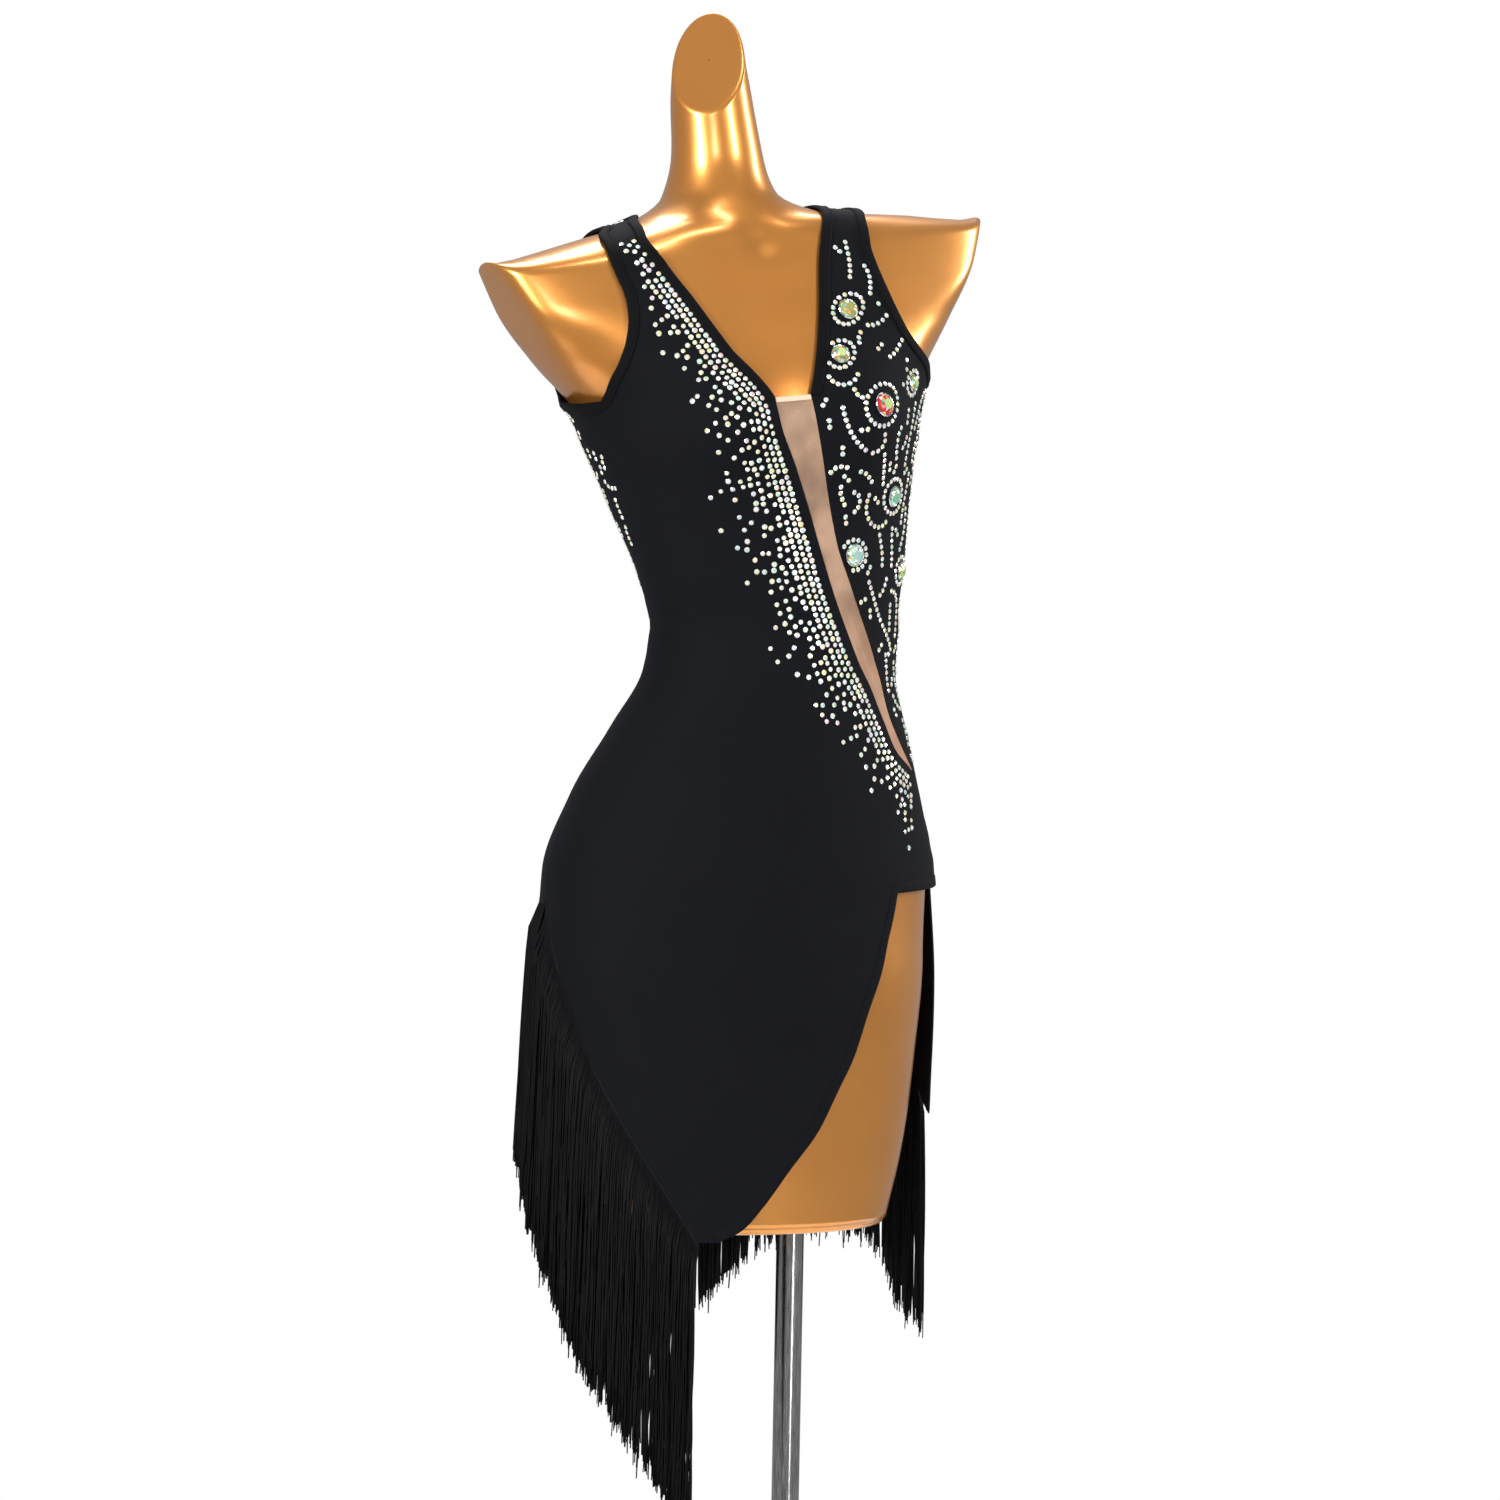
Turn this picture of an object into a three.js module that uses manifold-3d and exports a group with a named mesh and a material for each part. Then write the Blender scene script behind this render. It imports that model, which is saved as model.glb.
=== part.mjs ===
// Latin dance dress with a slit, fringed skirt, worn by a limbless dress form on a stand.
// Millimetres, +Z up. The origin is the centre of the stand's underside, on the pole's axis.
// The dress faces -Y, and the wearer's right side is towards -X.
// A place on the body is [angle, height]: angle in degrees from the front towards the wearer's
// left, height above the form's underside. Cloth and trim are walls between two distances
// from that body surface.
import * as THREE from "three";
import { mergeVertices } from "three/addons/utils/BufferGeometryUtils.js";
import Module from "manifold-3d";

const wasm = await Module();
wasm.setup();

// Driving dimensions
const formBottom = 760; // the form's flat underside above the floor
const neckTop = 985;
const sideRight = -92; // angle of the side seam on the wearer's right
const sideLeft = 86;
const waistToHip = 357; // height where the lower front panel reaches the left side seam
const hipLine = 262; // height of the back panel's last level row
const slitStart = { right: 266, left: 279 }; // heights of the row where the front slit starts
const clothGap = 2; // cloth wall's inside from the form
const clothWall = 1.3;
const meshWall = 1.0;
const seamGap = 0.45;
const insertTrim = 0.06; // share of the mesh insert's last row that is cut off its tip
const trimGap = 1.8;
const trimWall = 1.0;
const bindingWidth = 7.5;
const bindingInset = 0.3; // from the cloth's edge to the binding's
const backLadder = [600, 530, 460, 390, 320]; // heights that space the back panel's rows
const rows = {
  bodice: 16, neck: 7, waist: 16, join: 3, hip: 4, slitTop: 4, petal: 14, back: 14, skirt: 6, insert: 16,
};
const columns = { front: 12, left: 9, back: 9, insert: 2, form: 30 };
const fringeTape = { clear: 1.2, drop: 8, wall: 1.6, endGap: 1.5 };
const strand = { radius: 0.75, ragged: 8, lean: 9, sides: 3 };
const strandLengths = { front: 214, backLeft: 212, backRight: 226 };
const pole = { radius: 11, socket: 40, clearance: 0.4, sides: 24 };
const base = { radius: 170, edge: 5, middle: 11, sides: 48 };
const collar = { radius: 19, height: 34, sides: 24 };
const standGap = 0.3;
const stoneDepth = 4.2;
const stoneSeat = 5; // the stones' flat backs above the body surface
const bust = { x: 66, height: 632, radius: 52, depth: 20 };

const table = (names, rows) =>
  rows.map((row) => Object.fromEntries(names.split(" ").map((name, i) => [name, row[i]])));

const sectionColumns = "height x y tilt half front back";

// The form's level sections: centre, sideways tilt in degrees, half width, front and back depth.
const upperSections = [
  [330, -40.5, 6, -3, 142.5, 104, 116],
  [390, -35.5, -2, -1, 118.5, 90, 92],
  [440, -30, -6, 1, 99.5, 82, 78],
  [475, -27, -7, 2, 97.5, 80, 76],
  [520, -30, -5, 3, 105.5, 84, 82],
  [580, -39, 0, 5, 120.5, 94, 94],
  [630, -45, 4, 6, 135.5, 98, 102],
  [660, -47, 6, 7, 148, 96, 103],
  [700, -52, 9, 8, 188, 88, 98],
  [740, -57, 12, 8, 230, 77, 88],
  [768, -61, 14, 8, 233, 69, 78],
  [784, -66, 15, 8, 161, 63, 71],
  [798, -69, 16, 6, 76, 56, 62],
  [815, -72, 16, 4, 45, 48, 52],
  [845, -75, 14, 3, 36, 38, 40],
  [890, -82, 11, 2, 32, 34, 34],
  [930, -86.5, 8, 2, 27.5, 31, 31],
  [neckTop, -90, 6, 2, 26.5, 29, 29],
];
const formSections = table(sectionColumns, [
  [0, -37, 0, 0, 113, 84, 86],
  [60, -39, 2, -1, 129, 93, 97],
  [140, -44, 6, -2, 145, 104, 113],
  [220, -48, 10, -3, 156, 112, 128],
  [270, -45.5, 12, -3, 155, 112, 130],
  ...upperSections,
]);
// Below the fullest part of the hips the cloth hangs free of the form.
const clothSections = table(sectionColumns, [
  [-60, -37, 6, -1, 151, 104, 128],
  [0, -38, 7, -1, 153, 105, 129],
  [100, -40, 9, -2, 158, 109, 130],
  [200, -42.5, 10, -3, 162.5, 113, 131],
  [270, -43, 12, -3, 159, 113, 131],
  ...upperSections,
]);

// Flat cuts through the form: a point on the cut, and the way the cut face looks.
const cuts = table("x y height azimuth elevation", [
  [-243, 12, 713, -90, -32],
  [134, 12, 767, 90, -21],
  [-84, 8, 922, -36, 32],
]);

// Edges that start on the shoulder's ridge, at a place. They run down through points of the front
// view, as [x, height above the form's underside], and end at places.
const rightArmhole = {
  ridge: [-90, 792.5],
  view: [[-184, 770], [-184.5, 758], [-180, 741], [-174.5, 725], [-173, 708], [-175, 690], [-179, 674]],
  places: [[-55, 679], [-62, 669], [-69, 662], [-76, 661], [-84, 664], [sideRight, 666]],
};
const rightNeckline = {
  ridge: [-90, 799.5],
  view: [[-151, 783], [-153.5, 770], [-146, 757], [-137, 743], [-124, 725], [-111, 705], [-97.5, 684]],
  places: [[-13, 673], [-9, 652]],
};
const leftNeckline = {
  ridge: [90, 799],
  view: [[-3, 801], [-12, 779], [-16.5, 758], [-20, 730], [-25, 700]],
  places: [[6.3, 671], [4, 652]],
};
const leftArmhole = {
  ridge: [90, 792.2],
  view: [[32, 801], [28.5, 790], [28, 775], [31.5, 760], [38, 742], [46, 724], [56, 707], [68, 696]],
  places: [[56, 671], [69, 660], [sideLeft, 656]],
};
const leftArmholeBack = {
  ridge: [90, 792.2],
  view: [[36, 801], [35, 794], [34, 784], [33.5, 771], [35, 755], [39.5, 738], [46.5, 720], [57, 703]],
  places: [[132, 679], [118, 665], [103, 658], [sideLeft, 656]],
};
const leftNecklineBack = {
  ridge: [90, 799],
  view: [[1, 806], [-4, 805.6], [-10, 803.5], [-18, 797], [-27, 784], [-42, 767]],
  places: [[180, 758]],
};
const rightNecklineBack = {
  ridge: [270, 799.5],
  view: [[-145, 786], [-137, 774], [-120, 764], [-90, 758.5]],
  places: [[180, 758]],
};
const rightArmholeBack = {
  ridge: [270, 792.5],
  view: [[-169, 774], [-167, 762], [-165, 746], [-165, 728], [-169, 707], [-177, 688]],
  places: [[234, 684], [243, 672], [254, 666], [sideRight + 360, 666]],
};
const centreBack = [[180, 758], [180, 655]];

// The other edges, as [angle, height].
const insertLeft = [
  [-9, 652], [-8, 630], [-4, 600], [-0.5, 571], [3.2, 537], [8.5, 504],
  [16, 473], [25, 447], [34, 426], [40, 403], [46.5, 380], [60, 365.5],
];
const insertRight = [
  [4, 652], [5.4, 630], [7.2, 600], [8.9, 571], [11.8, 537], [19, 504],
  [28, 473], [36.5, 449], [43, 430], [46.5, 404], [53, 384], [62.5, 365.3],
];
const fringeEdgeFront = [
  [sideRight, 240], [-86, 222], [-80, 199], [-74.5, 176], [-68.5, 150],
  [-61.5, 119], [-54, 91], [-46, 62], [-38.5, 34], [-33, 12], [-29, -4],
];
const slitEdge = [
  [36, 272], [32, 243], [28, 212], [23.2, 180], [19, 148],
  [13, 116], [7, 84], [-1.5, 54], [-9.5, 25], [-16, 6], [-23.5, -4],
];
const backHem = table("angle height", [
  [sideLeft, 88], [93, 98], [99, 124], [107, 152], [112, 180], [120, 210], [136, 219],
  [150, 206], [162, 179], [173, 149], [185, 120], [197, 101], [208, 98],
  [219, 143], [230, 192], [240, 222], [250, 242], [258, 249], [sideRight + 360, 248],
]);

// Large set stones: place and radius.
const largeStones = table("angle height radius", [
  [16, 714, 7.5], [14, 680, 7], [29, 640, 8.5], [43, 572, 7.5], [20, 529, 8], [47, 655, 6.5],
  [58, 516, 6.5], [197, 712, 7.5], [214, 672, 7], [203, 628, 8], [222, 590, 7.5], [208, 542, 7],
]);

// Materials
const material = (color, roughness, metalness = 0) =>
  new THREE.MeshStandardMaterial({ color, roughness, metalness });
const looks = {
  gold: material(0xc8873c, 0.22, 0.85),
  jersey: material(0x17181c, 0.7),
  fringe: material(0x0b0b0f, 0.6),
  nudeMesh: material(0xa88a76, 0.6),
  crystal: material(0xcfe0d8, 0.1),
  steel: material(0xb9bcc0, 0.25, 1),
};

const toRadians = Math.PI / 180;
const clamp = (value, low, high) => Math.min(high, Math.max(low, value));

// A cubic through the points that never overshoots them: the slope at each is the harmonic
// mean of the straight slopes on its two sides, and zero at a turning point.
function smoothCurve(at, values) {
  const straight = at.slice(1).map((a, i) => (values[i + 1] - values[i]) / (a - at[i]));
  const slopes = at.map((_, i) => {
    const before = straight[Math.max(i - 1, 0)];
    const after = straight[Math.min(i, straight.length - 1)];
    return before * after <= 0 ? 0 : (2 * before * after) / (before + after);
  });
  return (place) => {
    const next = at.findIndex((a) => a > place);
    const i = next < 0 ? at.length - 2 : Math.max(next - 1, 0);
    const span = at[i + 1] - at[i];
    const t = clamp((place - at[i]) / span, 0, 1);
    const rise = t * t * (3 - 2 * t);
    return (
      values[i] * (1 - rise) +
      values[i + 1] * rise +
      span * t * (1 - t) * ((1 - t) * slopes[i] - t * slopes[i + 1])
    );
  };
}

// The columns of a table of sections, as smooth functions of height.
function sectionCurves(sections) {
  const heights = sections.map((row) => row.height);
  const names = ["x", "y", "tilt", "half", "front", "back"];
  const curve = (name) => smoothCurve(heights, sections.map((row) => row[name]));
  return Object.fromEntries(names.map((name) => [name, curve(name)]));
}

// The body surface, as a function of angle and height.
function bodySurface({ x, y, tilt, half, front, back }) {
  return (angle, height) => {
    const across = half(height) * Math.sin(angle * toRadians);
    const facing = Math.cos(angle * toRadians);
    let depth = -(facing >= 0 ? front : back)(height) * facing;
    for (const side of [-bust.x, bust.x]) {
      const u = (across - side) / bust.radius;
      const v = (height - bust.height) / (1.05 * bust.radius);
      depth -= bust.depth * Math.exp(-1.4 * (u * u + v * v)) * clamp(3 * facing, 0, 1);
    }
    const lean = tilt(height) * toRadians;
    return new THREE.Vector3(
      x(height) + across * Math.cos(lean),
      y(height) + depth,
      formBottom + height + across * Math.sin(lean),
    );
  };
}
const clothCurves = sectionCurves(clothSections);
const formSurface = bodySurface(sectionCurves(formSections));
const clothSurface = bodySurface(clothCurves);

// The surface's point, its two directions and its outward normal at a place.
function frameAt(surface, [angle, height]) {
  const step = 0.5;
  const point = surface(angle, height);
  const around = surface(angle + step, height).sub(surface(angle - step, height));
  const up = surface(angle, height + step).sub(surface(angle, height - step));
  const normal = around.clone().cross(up).normalize();
  return { point, around, up, normal };
}

const proudOf = (surface, place, distance) => {
  const { point, normal } = frameAt(surface, place);
  return point.addScaledVector(normal, distance);
};

const mix = ([a, b], [c, d], t) => [a + (c - a) * t, b + (d - b) * t];

// An edge given by a few places, as one smooth function from 0 to 1.
function smoothEdge(places) {
  const at = places.map((_, i) => i / (places.length - 1));
  const angle = smoothCurve(at, places.map((place) => place[0]));
  const height = smoothCurve(at, places.map((place) => place[1]));
  return (t) => [angle(t), height(t)];
}

const steps = (count) => Array.from({ length: count + 1 }, (_, i) => i / count);

// How far along a line of points each one is, from 0 to 1.
function shares(points) {
  const lengths = points.map((point, i) => (i > 0 ? point.distanceTo(points[i - 1]) : 0));
  const reached = lengths.map((_, i) => lengths.slice(0, i + 1).reduce((sum, one) => sum + one));
  return reached.map((length) => length / reached.at(-1));
}

// The place that stands at x and a height in the front view, on the front or the back.
function placeInView(x, level, isBack) {
  let [low, high] = [bust.height, neckTop];
  for (let i = 0; i < 40; i++) {
    const middle = (low + high) / 2;
    const rise = (x - clothCurves.x(middle)) * Math.tan(clothCurves.tilt(middle) * toRadians);
    if (level - middle > rise) low = middle;
    else high = middle;
  }
  const reach = clothCurves.half(low) * Math.cos(clothCurves.tilt(low) * toRadians);
  const angle = Math.asin(clamp((x - clothCurves.x(low)) / reach, -1, 1)) / toRadians;
  return [isBack ? 180 - angle : angle, low];
}

// An edge over the shoulder, as one function from 0 to 1 along its length.
function shoulderEdge({ ridge, view, places }, isBack = false) {
  const top = clothSurface(...ridge);
  const points = [[top.x, top.z - formBottom], ...view].map(([a, b]) => new THREE.Vector2(a, b));
  const at = shares(points);
  const x = smoothCurve(at, points.map((point) => point.x));
  const level = smoothCurve(at, points.map((point) => point.y));
  // The steps are shorter near the ridge, where the edge turns fastest.
  const viewSteps = 16;
  const inView = steps(viewSteps).slice(1).map((t) => placeInView(x(t * t), level(t * t), isBack));
  const line = [ridge, ...inView, ...places];
  const along = shares(line.map((place) => clothSurface(...place)));
  const angle = smoothCurve(along, line.map((place) => place[0]));
  const height = smoothCurve(along, line.map((place) => place[1]));
  return (t) => [angle(t), height(t)];
}

// Rows of places ruled between a left and a right edge, each held back from the edge by a gap.
function ruled(left, right, rowCount, columnCount, gaps) {
  return steps(rowCount).map((t) => {
    const [from, to] = [left(t), right(t)];
    const width = clothSurface(...from).distanceTo(clothSurface(...to));
    const start = gaps[0] / width;
    const end = 1 - gaps[1] / width;
    return steps(columnCount).map((s) => mix(from, to, start + (end - start) * s));
  });
}

const straightEdge = (from, to) => (t) => mix(from, to, t);
// One edge up to a share of the way, then another.
const followedBy = (first, second, share) => (t) =>
  t <= share ? first(t / share) : second((t - share) / (1 - share));

// A mesh from a list of points and a list of triangles.
function geometryOf(points, triangles) {
  const geometry = new THREE.BufferGeometry().setFromPoints(points);
  geometry.setIndex(triangles.flat());
  return geometry;
}

// A closed wall between two distances from the body. Grids that share a row of places join.
function wall(surface, grids, low, high) {
  const places = new Map();
  const indexOf = (place) => {
    const key = place.map((value) => Math.round(value * 1e4)).join();
    if (!places.has(key)) places.set(key, { index: places.size, place });
    return places.get(key).index;
  };
  const faces = [];
  const reach = (from, to) => {
    const [start, end] = [from, to].map((index) => surface(...[...places.values()][index].place));
    return start.distanceTo(end);
  };
  // A four-sided cell splits along its shorter diagonal.
  const halves = (a, b, c, d) =>
    reach(a, c) < reach(b, d) ? [[a, d, c], [a, c, b]] : [[a, d, b], [b, d, c]];
  for (const grid of grids) {
    const indices = grid.map((row) => row.map(indexOf));
    for (let i = 1; i < indices.length; i++) {
      for (let j = 1; j < indices[i].length; j++) {
        const [a, b] = [indices[i - 1][j - 1], indices[i - 1][j]];
        const [c, d] = [indices[i][j], indices[i][j - 1]];
        for (const face of halves(a, b, c, d)) {
          if (new Set(face).size === 3) faces.push(face);
        }
      }
    }
  }
  const sorted = [...places.values()].map((entry) => entry.place);
  const outside = sorted.map((place) => proudOf(surface, place, high));
  const inside = sorted.map((place) => proudOf(surface, place, low));
  const count = sorted.length;
  const edges = new Set(faces.flatMap((f) => f.map((v, i) => v + "," + f[(i + 1) % 3])));
  const rims = [...edges]
    .map((edge) => edge.split(",").map(Number))
    .filter(([from, to]) => !edges.has(to + "," + from));
  const triangles = [
    ...faces,
    ...faces.map(([a, b, c]) => [a + count, c + count, b + count]),
    ...rims.flatMap(([from, to]) => [
      [to, from, from + count],
      [to, from + count, to + count],
    ]),
  ];
  return geometryOf([...outside, ...inside], triangles);
}

// Moves a place along the body by a length in millimetres, square to a direction.
function walk(place, along, distance) {
  const stepCount = 4;
  let [angle, height] = place;
  for (let i = 0; i < stepCount; i++) {
    const { around, up, normal } = frameAt(clothSurface, [angle, height]);
    const sideways = normal.clone().cross(along).normalize();
    const [aa, au, uu] = [around.dot(around), around.dot(up), up.dot(up)];
    const [sa, su] = [sideways.dot(around), sideways.dot(up)];
    const scale = distance / stepCount / (aa * uu - au * au);
    angle += scale * (sa * uu - su * au);
    height += scale * (su * aa - sa * au);
  }
  return [angle, height];
}

// A band beside a line of places, from one distance to another on its left side.
function band(line, near, far, closed = false) {
  const points = line.map((place) => clothSurface(...place));
  const last = line.length - 1;
  return line.map((place, i) => {
    const before = i > 0 ? i - 1 : closed ? last - 1 : 0;
    const after = i < last ? i + 1 : closed ? 1 : last;
    const along = points[after].clone().sub(points[before]);
    return closed && i === last ? null : [walk(place, along, near), walk(place, along, far)];
  });
}
const closeBand = (grid) => [...grid.slice(0, -1), grid[0]];

// Solids
function solidFrom(geometry) {
  const bare = new THREE.BufferGeometry()
    .setAttribute("position", geometry.getAttribute("position"))
    .setIndex(geometry.index);
  const merged = mergeVertices(bare, 1e-4);
  return new wasm.Manifold(
    new wasm.Mesh({
      numProp: 3,
      vertProperties: merged.getAttribute("position").array,
      triVerts: new Uint32Array(merged.index.array),
    }),
  );
}

function geometryFrom(solid) {
  const mesh = solid.getMesh();
  return new THREE.BufferGeometry()
    .setAttribute("position", new THREE.BufferAttribute(mesh.vertProperties, mesh.numProp))
    .setIndex(new THREE.BufferAttribute(mesh.triVerts, 1));
}

const wayOf = (azimuth, elevation) =>
  new THREE.Vector3(
    Math.sin(azimuth * toRadians) * Math.cos(elevation * toRadians),
    -Math.cos(azimuth * toRadians) * Math.cos(elevation * toRadians),
    Math.sin(elevation * toRadians),
  );

function formBody() {
  const around = columns.form;
  const rise = (from, to, count) => steps(count).slice(1).map((t) => from + (to - from) * t);
  const heights = [0, ...rise(0, 270, 5), ...rise(270, 475, 9), ...rise(475, 600, 5),
    ...rise(600, 720, 8), ...rise(720, 815, 10), ...rise(815, 870, 3), ...rise(870, neckTop, 2)];
  const points = heights.flatMap((height) =>
    steps(around).slice(1).map((t) => formSurface(360 * t, height)),
  );
  const triangles = [];
  for (let i = 1; i < heights.length; i++) {
    for (let j = 0; j < around; j++) {
      const next = (j + 1) % around;
      const [a, b] = [(i - 1) * around + j, (i - 1) * around + next];
      const [c, d] = [i * around + next, i * around + j];
      triangles.push([a, b, c], [a, c, d]);
    }
  }
  const ends = [formSections[0], formSections.at(-1)].map(
    ({ x, y, height }) => points.push(new THREE.Vector3(x, y, formBottom + height)) - 1,
  );
  const lastRow = (heights.length - 1) * around;
  for (let j = 0; j < around; j++) {
    const next = (j + 1) % around;
    triangles.push([ends[0], next, j], [ends[1], lastRow + j, lastRow + next]);
  }
  let solid = solidFrom(geometryOf(points, triangles));
  const blockSize = 400;
  for (const { x, y, height, azimuth, elevation } of cuts) {
    const way = wayOf(azimuth, elevation);
    const block = new THREE.BoxGeometry(blockSize, blockSize, blockSize);
    const turn = new THREE.Quaternion().setFromUnitVectors(new THREE.Vector3(0, 0, 1), way);
    const centre = new THREE.Vector3(x, y, formBottom + height).addScaledVector(way, blockSize / 2);
    solid = solid.subtract(solidFrom(block.applyQuaternion(turn).translate(...centre.toArray())));
  }
  const socketRadius = pole.radius + pole.clearance;
  const socket = new THREE.CylinderGeometry(socketRadius, socketRadius, 2 * pole.socket, pole.sides)
    .rotateX(Math.PI / 2)
    .translate(0, 0, formBottom);
  return geometryFrom(solid.subtract(solidFrom(socket)));
}

function frontMain() {
  const side = insertLeft.map(([, height], i) =>
    i === 0 ? rightArmhole.places.at(-1) : [sideRight, height],
  );
  const tip = insertLeft.at(-1);
  const sheet = (left, right, count) => ruled(left, right, count, columns.front, [0, 0]);
  return [
    sheet(shoulderEdge(rightArmhole), shoulderEdge(rightNeckline), rows.bodice),
    sheet(smoothEdge(side), smoothEdge(insertLeft), rows.waist),
    sheet(
      straightEdge([sideRight, tip[1]], [sideRight, waistToHip]),
      straightEdge(tip, [sideLeft, waistToHip]), rows.join),
    sheet(
      straightEdge([sideRight, waistToHip], [sideRight, slitStart.right]),
      straightEdge([sideLeft, waistToHip], [sideLeft, slitStart.left]), rows.hip),
    sheet(
      straightEdge([sideRight, slitStart.right], fringeEdgeFront[0]),
      straightEdge([sideLeft, slitStart.left], slitEdge[0]), rows.slitTop),
    sheet(smoothEdge(fringeEdgeFront), smoothEdge(slitEdge), rows.petal),
  ];
}

function frontLeft() {
  const drop = insertRight.at(-1)[1] - (waistToHip + seamGap);
  const last = insertRight.length - 1;
  const side = insertRight.map(([, height], i) =>
    i === 0 ? leftArmhole.places.at(-1) : [sideLeft, height - drop * (i / last) ** 2],
  );
  const sheet = (left, right, count) => ruled(left, right, count, columns.left, [0, 0]);
  return [
    sheet(shoulderEdge(leftNeckline), shoulderEdge(leftArmhole), rows.bodice),
    sheet(smoothEdge(insertRight), smoothEdge(side), rows.waist),
  ];
}

function meshInsert() {
  const gaps = [seamGap, seamGap];
  const grid = ruled(
    smoothEdge(insertLeft), smoothEdge(insertRight), rows.insert, columns.insert, gaps);
  const end = grid.pop().map((place, i) => mix(place, grid.at(-1)[i], insertTrim));
  return [[...grid, end]];
}

function backPanel() {
  const sheet = (left, right, count) => ruled(left, right, count, columns.back, [0, 0]);
  const half = (armhole, neckline, seam) => {
    const side = [armhole.places.at(-1)[1], ...backLadder, hipLine];
    const centre = [centreBack[1][1], ...backLadder, hipLine];
    const neckShare = rows.neck / rows.bodice;
    const middle = followedBy(shoulderEdge(neckline, true), straightEdge(...centreBack), neckShare);
    return [
      sheet(shoulderEdge(armhole, true), middle, rows.bodice),
      sheet(
        smoothEdge(side.map((height) => [seam, height])),
        smoothEdge(centre.map((height) => [180, height])), rows.back),
    ];
  };
  const left = half(leftArmholeBack, leftNecklineBack, sideLeft);
  const right = half(rightArmholeBack, rightNecklineBack, sideRight + 360).map((grid) =>
    grid.map((row) => row.reverse()),
  );
  const hem = smoothCurve(
    backHem.map((row) => row.angle),
    backHem.map((row) => row.height),
  );
  const lower = (row) =>
    steps(rows.skirt).map((t) => row.map(([angle, height]) => [angle, height + (hem(angle) - height) * t]));
  return { left, right, hem, skirt: [lower(left[1].at(-1)), lower(right[1].at(-1))] };
}

// Pulls a panel's outermost places in from a seam, so that neighbours stay apart.
const eased = (grids, ease) => grids.map((grid) => grid.map((row) => row.map(ease)));
const near = (a, b) => Math.abs(a - b) < 1e-6;
const seamAngle = seamGap / 2 / 125 / toRadians;
const shoulderAngle = seamGap / 2 / 60 / toRadians;

const group = new THREE.Group();
function add(name, geometry, look) {
  const mesh = new THREE.Mesh(geometry, looks[look]);
  mesh.name = name;
  group.add(mesh);
  return mesh;
}

const clothFrom = clothGap;
const clothTo = clothGap + clothWall;
const trimFrom = clothTo + trimGap;
const trimTo = trimFrom + trimWall;

add("form_body", formBody(), "gold");

const frontGrids = frontMain();
const leftGrids = frontLeft();
const back = backPanel();

const easeSides = ([angle, height]) => {
  if (near(angle, sideRight)) return [angle + seamAngle, height];
  if (near(angle, sideLeft)) return [angle - seamAngle, height];
  if (near(angle, -90)) return [angle + shoulderAngle, height];
  if (near(angle, 90)) return [angle - shoulderAngle, height];
  return [angle, height];
};
const easeBack = ([angle, height]) => {
  if (near(angle, sideRight + 360)) return [angle - seamAngle, height];
  if (near(angle, sideLeft)) return [angle + seamAngle, height];
  if (near(angle, 270)) return [angle - shoulderAngle, height];
  if (near(angle, 90)) return [angle + shoulderAngle, height];
  return [angle, height];
};
add("front_main", wall(clothSurface, eased(frontGrids, easeSides), clothFrom, clothTo), "jersey");
add("front_left", wall(clothSurface, eased(leftGrids, easeSides), clothFrom, clothTo), "jersey");
const backGrids = [...back.left, ...back.right, ...back.skirt];
add("back_panel", wall(clothSurface, eased(backGrids, easeBack), clothFrom, clothTo), "jersey");
add("mesh_insert", wall(clothSurface, meshInsert(), clothFrom, clothFrom + meshWall), "nudeMesh");

// Bindings follow the panels' own edge places.
const firstOf = (grid) => grid.map((row) => row[0]);
const lastOf = (grid) => grid.map((row) => row.at(-1));
const shifted = (line, angle) => line.map(([a, h]) => [a + angle, h]);
const neckLine = [
  ...lastOf(frontGrids[0]).reverse(),
  ...shifted(firstOf(back.right[0]).slice(1, rows.neck), -360),
  ...shifted(lastOf(back.left[0]).slice(0, rows.neck + 1), -360).reverse(),
  ...shifted(firstOf(leftGrids[0]), -360).slice(1),
];
add(
  "neck_binding",
  wall(clothSurface, [band(neckLine, bindingInset, bindingWidth)], trimFrom, trimTo),
  "jersey",
);
const armholes = {
  armhole_binding_right: [
    ...firstOf(frontGrids[0]),
    ...shifted(lastOf(back.right[0]), -360).reverse().slice(1),
  ],
  armhole_binding_left: [
    ...firstOf(back.left[0]),
    ...lastOf(leftGrids[0]).reverse().slice(1),
  ],
};
for (const [name, line] of Object.entries(armholes)) {
  const grid = closeBand(band(line, bindingInset, bindingWidth, true));
  add(name, wall(clothSurface, [grid], trimFrom, trimTo), "jersey");
}

// Repeatable numbers between -1 and 1 for the strands' uneven ends.
const wobble = (n) => 2 * ((Math.sin(12.9898 * n) * 43758.5453) % 1);

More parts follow.
